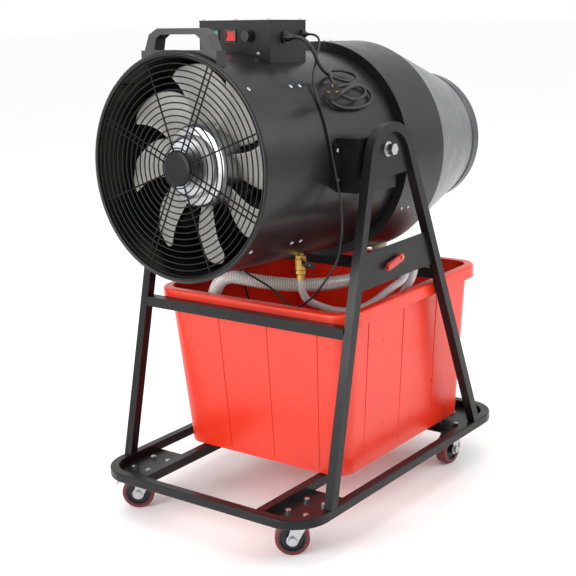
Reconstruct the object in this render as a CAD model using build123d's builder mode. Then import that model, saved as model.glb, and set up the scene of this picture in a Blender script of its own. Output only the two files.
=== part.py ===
"""Evaporative cooler: a tilting misting-fan drum on a wheeled frame that holds a water tank."""
import os
from math import atan2, cos, radians, sin, sqrt, tan

from build123d import *

os.makedirs("parts", exist_ok=True)

# ---- driving dimensions, mm. X right, Y towards the outlet, Z up, floor at zero ----
FRAME_W = 643.0          # base ring over its tubes, across
FRAME_L = 880.0          # base ring over its tubes, front to back
RING_CORNER = 89.0       # outside bend of the base ring
TUBE = 22.0              # square tube of the ring, the bars and the legs
RING_T = 23.0            # width of the ring tube seen from above
WALL = 1.5               # wall of every steel tube
CASTER_H = 103.0         # floor to the underside of the base ring
WHEEL_R = 40.0
WHEEL_W = 30.0
TRAIL = 35.0             # wheel centre behind its swivel axis
CASTER_X = 242.0
CASTER_Y = 327.0
BAR_X = 182.0            # inner bars that carry the tank

LEG_FRONT_Y = -327.0     # foot of the front leg, on the ring
LEG_REAR_Y = 309.0
LEG_FRONT_SLOPE = 0.264  # how far a leg leans for each mm of height
LEG_REAR_SLOPE = -0.381
ARCH_R = 77.0            # bend that joins the two legs
PIVOT_Y = -60.0
PIVOT_Z = 785.0          # above the underside of the ring
PIVOT_R = 8.0
RUN_GAP = 0.05           # radial gap of a running fit
AIR = 0.3                # gap between pieces that move past each other

PANEL_Z0 = 484.0         # side panel between the legs
PANEL_Z1 = 566.0
PANEL_T = 3.0
FRONT_BAR_Z = 398.5
REAR_BAR_Z = 455.0
BAR_T = 25.0

TANK_W = 592.0           # over the rim
TANK_L = 598.0
TANK_Y = 85.0            # middle of the tank
TANK_TOP = 430.0
TANK_FOOT = 3.0
RIM_H = 32.0
RIM_OUT = 18.0           # how far the rim stands out of the wall
TANK_WALL = 3.0
TANK_DRAFT_X = 32.0
TANK_DRAFT_Y = 10.0

TILT = 3.7               # the drum's axis dips this much towards the outlet
PIVOT_RISE = 30.7        # pivot above the drum's axis
DRUM_R = 243.0
SHEET = 2.0
DRUM_FRONT = -358.0      # stations along the axis, from the pivot towards the outlet
DRUM_REAR = 172.0
LIP_R = 5.0
BARREL_R = DRUM_R + 21.5
BARREL_FRONT = 157.0
BARREL_REAR = 320.0
OUTLET_R = 174.0
CONE_REAR = 624.0
OUTLET_REAR = 654.0

GUARD_S = -351.0
GUARD_WIRE = 1.6         # radius of a guard wire
GUARD_RINGS = 15
GUARD_R = DRUM_R - SHEET - 2.6
CAP_R = 40.0
ROTOR_R = 92.0
ROTOR_FRONT = -318.0
ROTOR_REAR = -232.0
BLADES = 8
BLADE_TIP = DRUM_R - 19
BLADE_PITCH = 27.0
BLADE_START = 1.0        # degrees from the right-hand side to the first blade
SPIDER_S = -156.0
DISC_R = DRUM_R - 138
DISC_S = 236.0

BOX_W = 206.0            # control box
BOX_S0 = -156.0
BOX_S1 = -26.0
BOX_TOP = DRUM_R + 69
BOX_WALL = 1.5
SWITCH_N = BOX_TOP - 33  # height of the controls above the drum's axis
SWITCH_W = 33.0
SWITCH_H = 29.5
RED_X = -9.0
GREEN_X = -60.0
KNOB_X = 44.0
KNOB_R = 14.0

DRAIN_HOSE_R = 16.0
THIN_HOSE_R = 9.0
PUMP_CABLE_R = 2.6
MAINS_R = 4.25

# ---- one shared frame: the box of the whole object stands on the origin ----
FRONT_Y = -FRAME_L / 2
REAR_Y = PIVOT_Y - PIVOT_RISE * sin(radians(TILT)) + OUTLET_REAR * cos(radians(TILT)) \
    + OUTLET_R * sin(radians(TILT))
SHIFT_Y = -(FRONT_Y + REAR_Y) / 2
LEG_X = (FRAME_W - RING_T) / 2
PIN_END_X = LEG_X + 20


def at(x, y, z):
    """A point given from the middle of the base ring's underside."""
    return Vector(x, y + SHIFT_Y, z + CASTER_H)


def flat(z):
    """Horizontal plane at a height above the ring's underside."""
    return Plane(origin=at(0, 0, z), x_dir=(1, 0, 0), z_dir=(0, 0, 1))


def lengthwise(x):
    """Upright plane along the machine: its x runs to the outlet, its y up."""
    return Plane(origin=at(x, 0, 0), x_dir=(0, 1, 0), z_dir=(1, 0, 0))


def crosswise(y):
    """Upright plane across the machine: x to the right, y up, facing the front."""
    return Plane(origin=at(0, y, 0), x_dir=(1, 0, 0), z_dir=(0, -1, 0))


# ---- the drum's own directions ----
AXIS = Vector(0, cos(radians(TILT)), -sin(radians(TILT)))
UP = Vector(0, sin(radians(TILT)), cos(radians(TILT)))
RIGHT = Vector(1, 0, 0)
DRUM_O = at(0, PIVOT_Y, PIVOT_Z) - UP * PIVOT_RISE
DRUM_AXIS = Axis(DRUM_O, AXIS)


def drum(x, s, n):
    """A point of the drum: x to the right, s along the axis, n above it."""
    return DRUM_O + RIGHT * x + AXIS * s + UP * n


def section(s):
    """Plane across the drum, facing the front: x to the right, y up."""
    return Plane(origin=drum(0, s, 0), x_dir=RIGHT, z_dir=-AXIS)


def level(n):
    """Plane along the drum at a height over its axis: x to the right, y to the outlet."""
    return Plane(origin=drum(0, 0, n), x_dir=RIGHT, z_dir=UP)


def beside(x):
    """Plane along the drum, facing right: x to the outlet, y up."""
    return Plane(origin=drum(x, 0, 0), x_dir=AXIS, z_dir=RIGHT)


def on_drum(angle, s, r):
    """Plane that touches the drum at an angle from the right-hand side, facing outwards."""
    out = RIGHT * cos(radians(angle)) + UP * sin(radians(angle))
    return Plane(origin=DRUM_O + AXIS * s + out * r, x_dir=AXIS, z_dir=out)


def turned(*corners):
    """Revolve an outline of (radius, station) corners round the drum's axis."""
    with BuildSketch(level(0)) as outline:
        Polygon(*corners, align=None)
    revolve(outline.sketch, axis=DRUM_AXIS)


def rod(start, end, r, mode=Mode.ADD):
    """A round bar from one point to another."""
    way = end - start
    with BuildSketch(Plane(origin=start, z_dir=way)) as end_face:
        Circle(r)
    extrude(end_face.sketch, amount=way.length, mode=mode)


def leg_y(z, front):
    """Where a leg's middle is at a height above the ring's underside."""
    foot, slope = (LEG_FRONT_Y, LEG_FRONT_SLOPE) if front else (LEG_REAR_Y, LEG_REAR_SLOPE)
    return foot + slope * (z - TUBE)


def inside_y(z, front, gap=0.0):
    """The face of a leg that looks into the A-frame."""
    slope = LEG_FRONT_SLOPE if front else LEG_REAR_SLOPE
    half = (TUBE / 2 + gap) * sqrt(1 + slope ** 2)
    return leg_y(z, front) + (half if front else -half)


def route(points, name, r):
    """A cord's middle line: straight runs joined by arcs as large as the runs allow."""
    radii = []
    for a, b, c in zip(points, points[1:], points[2:]):
        turn = (b - a).get_angle(c - b)
        radii.append(0.45 * min((b - a).length, (c - b).length) / tan(radians(turn / 2)))
    line = FilletPolyline(*points, radius=radii)
    print(f"{name}: length {line.length:.0f}, tightest {min(radii):.0f}"
          f" = {min(radii) / (2 * r):.1f} diameters")
    return line


# ---- base: ring, bars and corner plates ----
with BuildPart() as base_ring:
    with BuildSketch(flat(0)):
        RectangleRounded(FRAME_W, FRAME_L, RING_CORNER)
        RectangleRounded(FRAME_W - 2 * RING_T, FRAME_L - 2 * RING_T, RING_CORNER - RING_T,
                         mode=Mode.SUBTRACT)
    extrude(amount=TUBE)
    fillet(base_ring.edges().group_by(Axis.Z)[0] + base_ring.edges().group_by(Axis.Z)[-1], 3)
    with BuildSketch(flat(WALL)):
        RectangleRounded(FRAME_W - 2 * WALL, FRAME_L - 2 * WALL, RING_CORNER - WALL)
        RectangleRounded(FRAME_W - 2 * RING_T + 2 * WALL, FRAME_L - 2 * RING_T + 2 * WALL,
                         RING_CORNER - RING_T + WALL, mode=Mode.SUBTRACT)
    extrude(amount=TUBE - 2 * WALL, mode=Mode.SUBTRACT)

BAR_L = FRAME_L - 2 * RING_T
with BuildPart() as base_bars:
    with BuildSketch(crosswise(BAR_L / 2)):
        with Locations((-BAR_X, TUBE / 2), (BAR_X, TUBE / 2)):
            Rectangle(TUBE, TUBE)
            Rectangle(TUBE - 2 * WALL, TUBE - 2 * WALL, mode=Mode.SUBTRACT)
    extrude(amount=BAR_L)

PLATE_T = 4.0
PLATE_L = 182.0
PLATE_IN = BAR_X + TUBE / 2
BOLT_DX = 24.5
BOLT_DY = 35.0
CASTER_BOLT_R = 4.0
CASTERS = [(sx * CASTER_X, sy * CASTER_Y) for sy in (-1, 1) for sx in (-1, 1)]
with BuildPart() as corner_plates:
    with BuildSketch(flat(0)):
        RectangleRounded(FRAME_W - 2 * RING_T, BAR_L, RING_CORNER - RING_T)
        Rectangle(2 * PLATE_IN, BAR_L, mode=Mode.SUBTRACT)
        Rectangle(FRAME_W, BAR_L - 2 * PLATE_L, mode=Mode.SUBTRACT)
        with Locations(*CASTERS):
            with GridLocations(2 * BOLT_DX, 2 * BOLT_DY, 2, 2):
                Circle(CASTER_BOLT_R + AIR, mode=Mode.SUBTRACT)
    extrude(amount=PLATE_T)

# ---- A-frames: one bent tube on each side, with its arch plate and side panel ----
LEG_TIP_Z = TUBE + (LEG_REAR_Y - LEG_FRONT_Y) / (LEG_FRONT_SLOPE - LEG_REAR_SLOPE)
LEG_TIP_Y = leg_y(LEG_TIP_Z, True)


def bent_legs(x):
    """Both legs and the arch as one square tube, cut off level on the ring."""
    below = TUBE - 15
    side = Plane(origin=at(x, 0, 0), x_dir=(0, 1, 0), z_dir=(1, 0, 0))
    with BuildLine(side) as middle:
        FilletPolyline((leg_y(below, True), below), (LEG_TIP_Y, LEG_TIP_Z),
                       (leg_y(below, False), below), radius=ARCH_R)
    path = middle.line
    for size, mode in ((TUBE, Mode.ADD), (TUBE - 2 * WALL, Mode.SUBTRACT)):
        with BuildSketch(Plane(origin=path @ 0, x_dir=(1, 0, 0), z_dir=path % 0)) as profile:
            Rectangle(size, size)
        sweep(profile.sketch, path=path, mode=mode)
    with BuildSketch(flat(0)) as floor_cut:
        Rectangle(2 * FRAME_W, FRAME_L)
    extrude(floor_cut.sketch, amount=TUBE, mode=Mode.SUBTRACT)


with BuildPart() as a_frame_left:
    bent_legs(-LEG_X)
with BuildPart() as a_frame_right:
    bent_legs(LEG_X)

LEAN = (atan2(LEG_FRONT_SLOPE, 1) - atan2(LEG_REAR_SLOPE, 1)) / 2
ARCH_DROP = ARCH_R / sin(LEAN)
ARCH_TURN = (atan2(LEG_FRONT_SLOPE, 1) + atan2(LEG_REAR_SLOPE, 1)) / 2
ARCH_Y = LEG_TIP_Y - ARCH_DROP * sin(ARCH_TURN)
ARCH_Z = LEG_TIP_Z - ARCH_DROP * cos(ARCH_TURN)
ARCH_PLATE_T = 4.0
ARCH_PLATE_X = LEG_X - 2.0
PLATE_FOOT_Z = ARCH_Z - 34
with BuildPart() as arch_plates:
    for x in (-ARCH_PLATE_X, ARCH_PLATE_X):
        with BuildSketch(lengthwise(x)):
            with Locations((ARCH_Y, ARCH_Z)):
                Circle(ARCH_R - TUBE / 2)
            with BuildLine():
                Polyline((inside_y(PLATE_FOOT_Z, True), PLATE_FOOT_Z),
                         (inside_y(ARCH_Z, True), ARCH_Z),
                         (inside_y(ARCH_Z, False), ARCH_Z),
                         (inside_y(PLATE_FOOT_Z, False), PLATE_FOOT_Z), close=True)
            make_face()
            with Locations((ARCH_Y, PLATE_FOOT_Z - ARCH_R)):
                Rectangle(4 * ARCH_R, 2 * ARCH_R, mode=Mode.SUBTRACT)
            with Locations((PIVOT_Y, PIVOT_Z)):
                Circle(PIVOT_R, mode=Mode.SUBTRACT)
        extrude(amount=ARCH_PLATE_T / 2, both=True)

VALVE_Y = -30.0          # panel valve's spindle
VALVE_Z = 531.0
STEM_R = 4.0
with BuildPart() as side_panels:
    for x in (-LEG_X, LEG_X):
        with BuildSketch(lengthwise(x)):
            with BuildLine():
                Polyline((inside_y(PANEL_Z0, True), PANEL_Z0), (inside_y(PANEL_Z1, True), PANEL_Z1),
                         (inside_y(PANEL_Z1, False), PANEL_Z1),
                         (inside_y(PANEL_Z0, False), PANEL_Z0), close=True)
            make_face()
            if x > 0:
                with Locations((VALVE_Y, VALVE_Z)):
                    Circle(STEM_R + 1, mode=Mode.SUBTRACT)
        extrude(amount=PANEL_T / 2, both=True)

BAR_SPAN = 2 * LEG_X - TUBE
with BuildPart() as crossbars:
    for z, front in ((FRONT_BAR_Z, True), (REAR_BAR_Z, False)):
        with BuildSketch(lengthwise(-BAR_SPAN / 2)):
            with Locations((leg_y(z, front), z)):
                Rectangle(BAR_T, BAR_T)
                Rectangle(BAR_T - 2 * WALL, BAR_T - 2 * WALL, mode=Mode.SUBTRACT)
        extrude(amount=BAR_SPAN)

# ---- casters ----
TOP_PLATE_T = 3.0
RACE_R = 28.0
RACE_H = 5.0
KINGPIN_R = 6.0
CROWN_T = 4.0
NUT_AF = 13.0
NUT_H = 6.0
with BuildPart() as caster_plates:
    with BuildSketch(flat(-TOP_PLATE_T)):
        with Locations(*CASTERS):
            RectangleRounded(2 * BOLT_DX + 22, 2 * BOLT_DY + 24, 8)
            with GridLocations(2 * BOLT_DX, 2 * BOLT_DY, 2, 2):
                Circle(CASTER_BOLT_R + AIR, mode=Mode.SUBTRACT)
    extrude(amount=TOP_PLATE_T)
    with BuildSketch(flat(-TOP_PLATE_T)):
        with Locations(*CASTERS):
            Circle(RACE_R)
    extrude(amount=-RACE_H)
    with BuildSketch(flat(-TOP_PLATE_T - RACE_H)):
        with Locations(*CASTERS):
            Circle(KINGPIN_R)
    extrude(amount=-CROWN_T - 3)

with BuildPart() as frame_bolts:
    with BuildSketch(flat(-TOP_PLATE_T - RACE_H / 2)):
        with Locations(*CASTERS):
            with GridLocations(2 * BOLT_DX, 2 * BOLT_DY, 2, 2):
                Circle(CASTER_BOLT_R)
    extrude(amount=RACE_H / 2 + TOP_PLATE_T + PLATE_T + NUT_H + 2)
    for z, h in ((PLATE_T, NUT_H), (-TOP_PLATE_T, -RACE_H)):
        with BuildSketch(flat(z)):
            with Locations(*CASTERS):
                with GridLocations(2 * BOLT_DX, 2 * BOLT_DY, 2, 2):
                    RegularPolygon(NUT_AF / 2, 6, major_radius=False)
        extrude(amount=h)

FORK_T = 3.0
FORK_IN = WHEEL_W / 2 + 4.0
AXLE_R = 5.0
CROWN_TOP = CASTER_H - TOP_PLATE_T - RACE_H - AIR
CROWN_LOW = CROWN_TOP - CROWN_T
PEDAL_X = 22.0
PEDAL_Z = CROWN_LOW - 8.0
PEDAL_PIN_R = 2.5


def caster(spot, heading):
    """Plane on the floor under a swivel axis, its x towards where the wheel trails."""
    return Plane(origin=(spot[0], spot[1] + SHIFT_Y, 0),
                 x_dir=(cos(radians(heading)), sin(radians(heading)), 0), z_dir=(0, 0, 1))


def wheel_side(place, y):
    """Upright plane beside a wheel: x along the trail, y up."""
    return Plane(origin=place.from_local_coords(Vector(0, y, 0)), x_dir=place.x_dir,
                 z_dir=-place.y_dir)


def fork(place, braked):
    """Crown, two tapered cheeks and the axle bolt with its head and nut."""
    with BuildSketch(place.offset(CROWN_LOW)) as sk:
        Circle(RACE_R - 1)
        with Locations((10, 0)):
            Rectangle(40, 2 * (FORK_IN + FORK_T))
        Circle(KINGPIN_R + RUN_GAP, mode=Mode.SUBTRACT)
    extrude(sk.sketch, amount=CROWN_T)
    for side in (-1, 1):
        with BuildSketch(wheel_side(place, side * (FORK_IN + FORK_T / 2))) as sk:
            with BuildLine():
                Polyline((-10, CROWN_LOW + 1), (TRAIL - 13, WHEEL_R - 3), (TRAIL + 13, WHEEL_R - 3),
                         (30, CROWN_LOW + 1), close=True)
            make_face()
            with Locations((TRAIL, WHEEL_R)):
                Circle(14)
        extrude(sk.sketch, amount=FORK_T / 2, both=True)
    rod_y = FORK_IN + FORK_T + 5
    with BuildSketch(wheel_side(place, -rod_y)) as sk:
        with Locations((TRAIL, WHEEL_R)):
            Circle(AXLE_R)
    extrude(sk.sketch, amount=-2 * rod_y)
    for y, depth in ((-FORK_IN - FORK_T, 7.0), (FORK_IN + FORK_T, -7.0)):
        with BuildSketch(wheel_side(place, y)) as sk:
            with Locations((TRAIL, WHEEL_R)):
                RegularPolygon(8.5, 6, major_radius=False)
        extrude(sk.sketch, amount=depth)
    if braked:
        with BuildSketch(wheel_side(place, -FORK_IN)) as sk:
            with Locations((PEDAL_X, PEDAL_Z)):
                Circle(PEDAL_PIN_R)
        extrude(sk.sketch, amount=-2 * FORK_IN)


def wheel_core(place):
    """Hub, web and rim of a wheel, with the axle's bore."""
    for r, half in ((WHEEL_R - 8, WHEEL_W / 2), (11.0, FORK_IN - AIR)):
        with BuildSketch(wheel_side(place, 0)) as sk:
            with Locations((TRAIL, WHEEL_R)):
                Circle(r)
        extrude(sk.sketch, amount=half, both=True)
    for side in (-1, 1):
        with BuildSketch(wheel_side(place, side * WHEEL_W / 2)) as sk:
            with Locations((TRAIL, WHEEL_R)):
                Circle(WHEEL_R - 12)
                Circle(14, mode=Mode.SUBTRACT)
        extrude(sk.sketch, amount=side * 5.0, mode=Mode.SUBTRACT)
    with BuildSketch(wheel_side(place, 0)) as sk:
        with Locations((TRAIL, WHEEL_R)):
            Circle(AXLE_R + RUN_GAP)
    extrude(sk.sketch, amount=FORK_IN, both=True, mode=Mode.SUBTRACT)


def wheel_tread(place):
    """Solid tyre with eased shoulders."""
    with BuildSketch(wheel_side(place, 0)) as sk:
        with Locations((TRAIL, WHEEL_R)):
            Circle(WHEEL_R)
            Circle(WHEEL_R - 8, mode=Mode.SUBTRACT)
    extrude(sk.sketch, amount=WHEEL_W / 2, both=True)


def brake_pedal(place):
    """Pressed lever hinged between the cheeks, with a wide foot pad behind the wheel."""
    half = FORK_IN - 1.5
    with BuildSketch(wheel_side(place, 0)) as sk:
        with Locations((PEDAL_X, PEDAL_Z)):
            Circle(PEDAL_PIN_R + 2)
        with BuildLine():
            Polyline((PEDAL_X, PEDAL_Z + 4.5), (PEDAL_X + 38, PEDAL_Z + 1.5),
                     (PEDAL_X + 66, PEDAL_Z - 14), (PEDAL_X + 64, PEDAL_Z - 17),
                     (PEDAL_X + 37, PEDAL_Z - 1.5), (PEDAL_X, PEDAL_Z + 1.2), close=True)
        make_face()
        with Locations((PEDAL_X, PEDAL_Z)):
            Circle(PEDAL_PIN_R + RUN_GAP, mode=Mode.SUBTRACT)
    extrude(sk.sketch, amount=half, both=True)


FL = caster(CASTERS[0], 218)
FR = caster(CASTERS[1], 218)
RL = caster(CASTERS[2], 262)
RR = caster(CASTERS[3], 270)
with BuildPart() as fork_fl:
    fork(FL, True)
with BuildPart() as fork_fr:
    fork(FR, False)
with BuildPart() as fork_rl:
    fork(RL, True)
with BuildPart() as fork_rr:
    fork(RR, False)
with BuildPart() as core_fl:
    wheel_core(FL)
with BuildPart() as core_fr:
    wheel_core(FR)
with BuildPart() as core_rl:
    wheel_core(RL)
with BuildPart() as core_rr:
    wheel_core(RR)
with BuildPart() as tread_fl:
    wheel_tread(FL)
    fillet(tread_fl.edges().filter_by(GeomType.CIRCLE).sort_by(SortBy.RADIUS)[-2:], 4)
with BuildPart() as tread_fr:
    wheel_tread(FR)
    fillet(tread_fr.edges().filter_by(GeomType.CIRCLE).sort_by(SortBy.RADIUS)[-2:], 4)
with BuildPart() as tread_rl:
    wheel_tread(RL)
    fillet(tread_rl.edges().filter_by(GeomType.CIRCLE).sort_by(SortBy.RADIUS)[-2:], 4)
with BuildPart() as tread_rr:
    wheel_tread(RR)
    fillet(tread_rr.edges().filter_by(GeomType.CIRCLE).sort_by(SortBy.RADIUS)[-2:], 4)
with BuildPart() as pedal_fl:
    brake_pedal(FL)
with BuildPart() as pedal_rl:
    brake_pedal(RL)

# ---- pivot pins: fixed in the arch plates, the drum's brackets turn on them ----
BRACKET_X = 292.0        # outer face of the drum's bracket
BRACKET_T = 4.0
ARCH_OUT = ARCH_PLATE_X + ARCH_PLATE_T / 2
ARCH_IN = ARCH_PLATE_X - ARCH_PLATE_T / 2
with BuildPart() as pivot_pins:
    for side in (-1, 1):
        spine = Plane(origin=at(0, PIVOT_Y, PIVOT_Z), x_dir=(0, side, 0), z_dir=(side, 0, 0))
        for x0, x1, r in ((BRACKET_X - BRACKET_T - 18, ARCH_OUT + 1, PIVOT_R),
                          (BRACKET_X + AIR, ARCH_IN, 14.0),
                          (ARCH_OUT, ARCH_OUT + 3, 17.0), (ARCH_OUT + 3, ARCH_OUT + 7, 12.5)):
            with BuildSketch(spine.offset(x0)):
                Circle(r)
            extrude(amount=x1 - x0)
        for x0, x1 in ((BRACKET_X - BRACKET_T - AIR - 12, BRACKET_X - BRACKET_T - AIR),
                       (ARCH_OUT + 7, PIN_END_X)):
            with BuildSketch(spine.offset(x0)):
                RegularPolygon(12, 6, major_radius=False)
            extrude(amount=x1 - x0)

# ---- water tank ----
TANK_LOW = TUBE + TANK_FOOT
WALL_TOP = TANK_TOP - RIM_H
TANK_CORNER = 45.0
BODY_W = TANK_W - 2 * RIM_OUT
BODY_L = TANK_L - 2 * RIM_OUT
RIB_PROUD = 1.5


def tapered(low, high, corner):
    """A solid that narrows downwards like the tank's wall."""
    faces = []
    for z in (low, high):
        k = (WALL_TOP - z) / (WALL_TOP - TANK_LOW)
        with BuildSketch(flat(z)) as outline:
            with Locations((0, TANK_Y)):
                RectangleRounded(BODY_W - 2 * TANK_DRAFT_X * k,
                                 BODY_L - 2 * TANK_DRAFT_Y * k, corner)
        faces.append(outline.sketch.face())
    loft(faces)


with BuildPart() as tank:
    tapered(TANK_LOW, WALL_TOP, TANK_CORNER)
    for x in (-150, 0, 150):
        with BuildSketch(flat(TANK_LOW + 12)):
            with Locations((x * 0.9, TANK_Y)):
                Rectangle(84, BODY_L - 2 * TANK_DRAFT_Y + 2 * RIB_PROUD)
        with BuildSketch(flat(WALL_TOP)):
            with Locations((x, TANK_Y)):
                Rectangle(88, BODY_L + 2 * RIB_PROUD)
        loft()
    for y in (-150, 0, 150):
        with BuildSketch(flat(TANK_LOW + 12)):
            with Locations((0, TANK_Y + y)):
                Rectangle(BODY_W - 2 * TANK_DRAFT_X + 2 * RIB_PROUD, 84)
        with BuildSketch(flat(WALL_TOP)):
            with Locations((0, TANK_Y + y)):
                Rectangle(BODY_W + 2 * RIB_PROUD, 84)
        loft()
    with BuildSketch(flat(WALL_TOP - 6)):
        with Locations((0, TANK_Y)):
            RectangleRounded(BODY_W + 14, BODY_L + 14, TANK_CORNER)
    extrude(amount=6)
    with BuildSketch(flat(WALL_TOP)):
        with Locations((0, TANK_Y)):
            RectangleRounded(TANK_W, TANK_L, TANK_CORNER + 12)
    extrude(amount=RIM_H)
    fillet(tank.edges().group_by(Axis.Z)[-1], 6)
    with BuildSketch(flat(WALL_TOP)):
        with Locations((0, TANK_Y)):
            RectangleRounded(TANK_W - 2 * TANK_WALL, TANK_L - 2 * TANK_WALL, TANK_CORNER + 9)
            RectangleRounded(BODY_W + 14, BODY_L + 14, TANK_CORNER, mode=Mode.SUBTRACT)
    extrude(amount=RIM_H - 2 * TANK_WALL, mode=Mode.SUBTRACT)
    with BuildSketch(flat(TANK_LOW)):
        for x in (-BAR_X, -BAR_X / 3, BAR_X / 3, BAR_X):
            for y in (-1, 0, 1):
                with Locations((x, TANK_Y + y * (BODY_L / 2 - TANK_DRAFT_Y - 14))):
                    Rectangle(14, 10)
    extrude(amount=-TANK_FOOT)
    for z in (TANK_LOW + TANK_WALL, WALL_TOP):
        k = (WALL_TOP - z) / (WALL_TOP - TANK_LOW)
        with BuildSketch(flat(z)):
            with Locations((0, TANK_Y)):
                RectangleRounded(BODY_W - 2 * TANK_DRAFT_X * k - 2 * TANK_WALL,
                                 BODY_L - 2 * TANK_DRAFT_Y * k - 2 * TANK_WALL, TANK_CORNER - 3)
    loft(mode=Mode.SUBTRACT)
    with BuildSketch(flat(WALL_TOP)):
        with Locations((0, TANK_Y)):
            RectangleRounded(BODY_W - 2 * TANK_WALL, BODY_L - 2 * TANK_WALL, TANK_CORNER - 3)
    extrude(amount=RIM_H, mode=Mode.SUBTRACT)

# ---- submersible pump on the tank's floor ----
PUMP_X = -60.0
PUMP_Y = -60.0
PUMP_R = 42.0
PUMP_LOW = TANK_LOW + TANK_WALL
PUMP_H = 112.0
OUT_DX = 26.0
PUMP_OUT = at(PUMP_X + OUT_DX, PUMP_Y, PUMP_LOW + PUMP_H + 34)
with BuildPart() as pump_body:
    for z, h, r in ((0, 18, PUMP_R + 6), (18, 8, PUMP_R - 6), (26, PUMP_H - 38, PUMP_R),
                    (PUMP_H - 12, 12, PUMP_R - 8)):
        with BuildSketch(flat(PUMP_LOW + z)):
            with Locations((PUMP_X, PUMP_Y)):
                Circle(r)
        extrude(amount=h)
    with BuildSketch(flat(PUMP_LOW)):
        with Locations((PUMP_X, PUMP_Y)):
            with PolarLocations(PUMP_R + 6, 18):
                Rectangle(9, 5, mode=Mode.ADD)
    extrude(amount=14, mode=Mode.SUBTRACT)
    with BuildSketch(flat(PUMP_LOW + PUMP_H)):
        with Locations((PUMP_X + OUT_DX, PUMP_Y)):
            Circle(THIN_HOSE_R - 2)
        with Locations((PUMP_X - 22, PUMP_Y)):
            Circle(8)
    extrude(amount=20)
    with BuildSketch(flat(PUMP_LOW + PUMP_H + 20)):
        with Locations((PUMP_X + OUT_DX, PUMP_Y)):
            Circle(THIN_HOSE_R + 2)
    extrude(amount=14)
CABLE_END = at(PUMP_X - 22, PUMP_Y, PUMP_LOW + PUMP_H + 20)

# ---- panel valve and the manifold behind the right panel ----
MANIFOLD_X = LEG_X - 26.0
HOSE_A_Y = 48.0
HOSE_B_Y = 85.0
BARB_Z = VALVE_Z - 33.0
LEVER_X = LEG_X + PANEL_T / 2 + 6.0
with BuildPart() as panel_valve:
    rod(at(MANIFOLD_X, VALVE_Y - 30, VALVE_Z), at(MANIFOLD_X, HOSE_B_Y + 14, VALVE_Z), 8)
    for y0, y1 in ((-34, -22), (16, 28), (HOSE_A_Y - VALVE_Y - 12, HOSE_A_Y - VALVE_Y + 12),
                   (HOSE_B_Y - VALVE_Y - 12, HOSE_B_Y - VALVE_Y + 12)):
        with BuildSketch(crosswise(VALVE_Y + y1)):
            with Locations((MANIFOLD_X, VALVE_Z)):
                RegularPolygon(11, 6, major_radius=False)
        extrude(amount=y1 - y0)
    with BuildSketch(crosswise(VALVE_Y + 16)):
        with Locations((MANIFOLD_X, VALVE_Z)):
            Circle(12.5)
    extrude(amount=32)
    rod(at(MANIFOLD_X, VALVE_Y, VALVE_Z), at(LEVER_X + 8, VALVE_Y, VALVE_Z), STEM_R)
    rod(at(LEG_X + PANEL_T / 2, VALVE_Y, VALVE_Z), at(LEVER_X - AIR, VALVE_Y, VALVE_Z), 9)
    rod(at(MANIFOLD_X, VALVE_Y, VALVE_Z), at(LEG_X - PANEL_T / 2, VALVE_Y, VALVE_Z), 9)
    for y in (HOSE_A_Y, HOSE_B_Y):
        rod(at(MANIFOLD_X, y, VALVE_Z), at(MANIFOLD_X, y, BARB_Z), THIN_HOSE_R - 2)
        rod(at(MANIFOLD_X, y, BARB_Z + 14), at(MANIFOLD_X, y, BARB_Z), THIN_HOSE_R + 1.5)

with BuildPart() as panel_lever:
    with BuildSketch(lengthwise(LEVER_X)):
        with Locations((VALVE_Y, VALVE_Z)):
            Circle(9)
        with BuildLine():
            Polyline((VALVE_Y, VALVE_Z + 7), (VALVE_Y - 24, VALVE_Z + 3.5),
                     (VALVE_Y - 60, VALVE_Z - 3.5), (VALVE_Y - 62, VALVE_Z - 20),
                     (VALVE_Y - 24, VALVE_Z - 14), (VALVE_Y, VALVE_Z - 8), close=True)
        make_face()
        with Locations((VALVE_Y, VALVE_Z)):
            Circle(STEM_R + RUN_GAP, mode=Mode.SUBTRACT)
    extrude(amount=5)
    fillet(panel_lever.edges().filter_by(Axis.X).sort_by(Axis.Y)[:2], 5)
    with BuildSketch(lengthwise(LEVER_X + 5)):
        with Locations((VALVE_Y - 42, VALVE_Z - 8.5)):
            SlotOverall(36, 13, rotation=10)
    extrude(amount=2.5)

# ---- drum: shell, misting barrel and outlet cone ----
FEED_X = 92.0            # where the feed pipe goes through the shell
FEED_S = -34.0
FEED_N = -sqrt(DRUM_R ** 2 - FEED_X ** 2)
with BuildPart() as drum_shell:
    turned((DRUM_R - SHEET, DRUM_FRONT), (DRUM_R, DRUM_FRONT), (DRUM_R, DRUM_REAR),
           (DRUM_R - SHEET, DRUM_REAR))
    with BuildSketch(level(0)):
        with Locations((DRUM_R + 4, DRUM_FRONT + LIP_R)):
            Circle(LIP_R)
    revolve(axis=DRUM_AXIS)
    rod(drum(FEED_X - 14, FEED_S, FEED_N + 35), drum(FEED_X + 4, FEED_S, FEED_N - 20), 7,
        mode=Mode.SUBTRACT)

with BuildPart() as mist_barrel:
    turned((DRUM_R, BARREL_FRONT), (BARREL_R, BARREL_FRONT), (BARREL_R, BARREL_REAR),
           (BARREL_R - SHEET, BARREL_REAR), (BARREL_R - SHEET, BARREL_FRONT + SHEET),
           (DRUM_R, BARREL_FRONT + SHEET))

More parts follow.
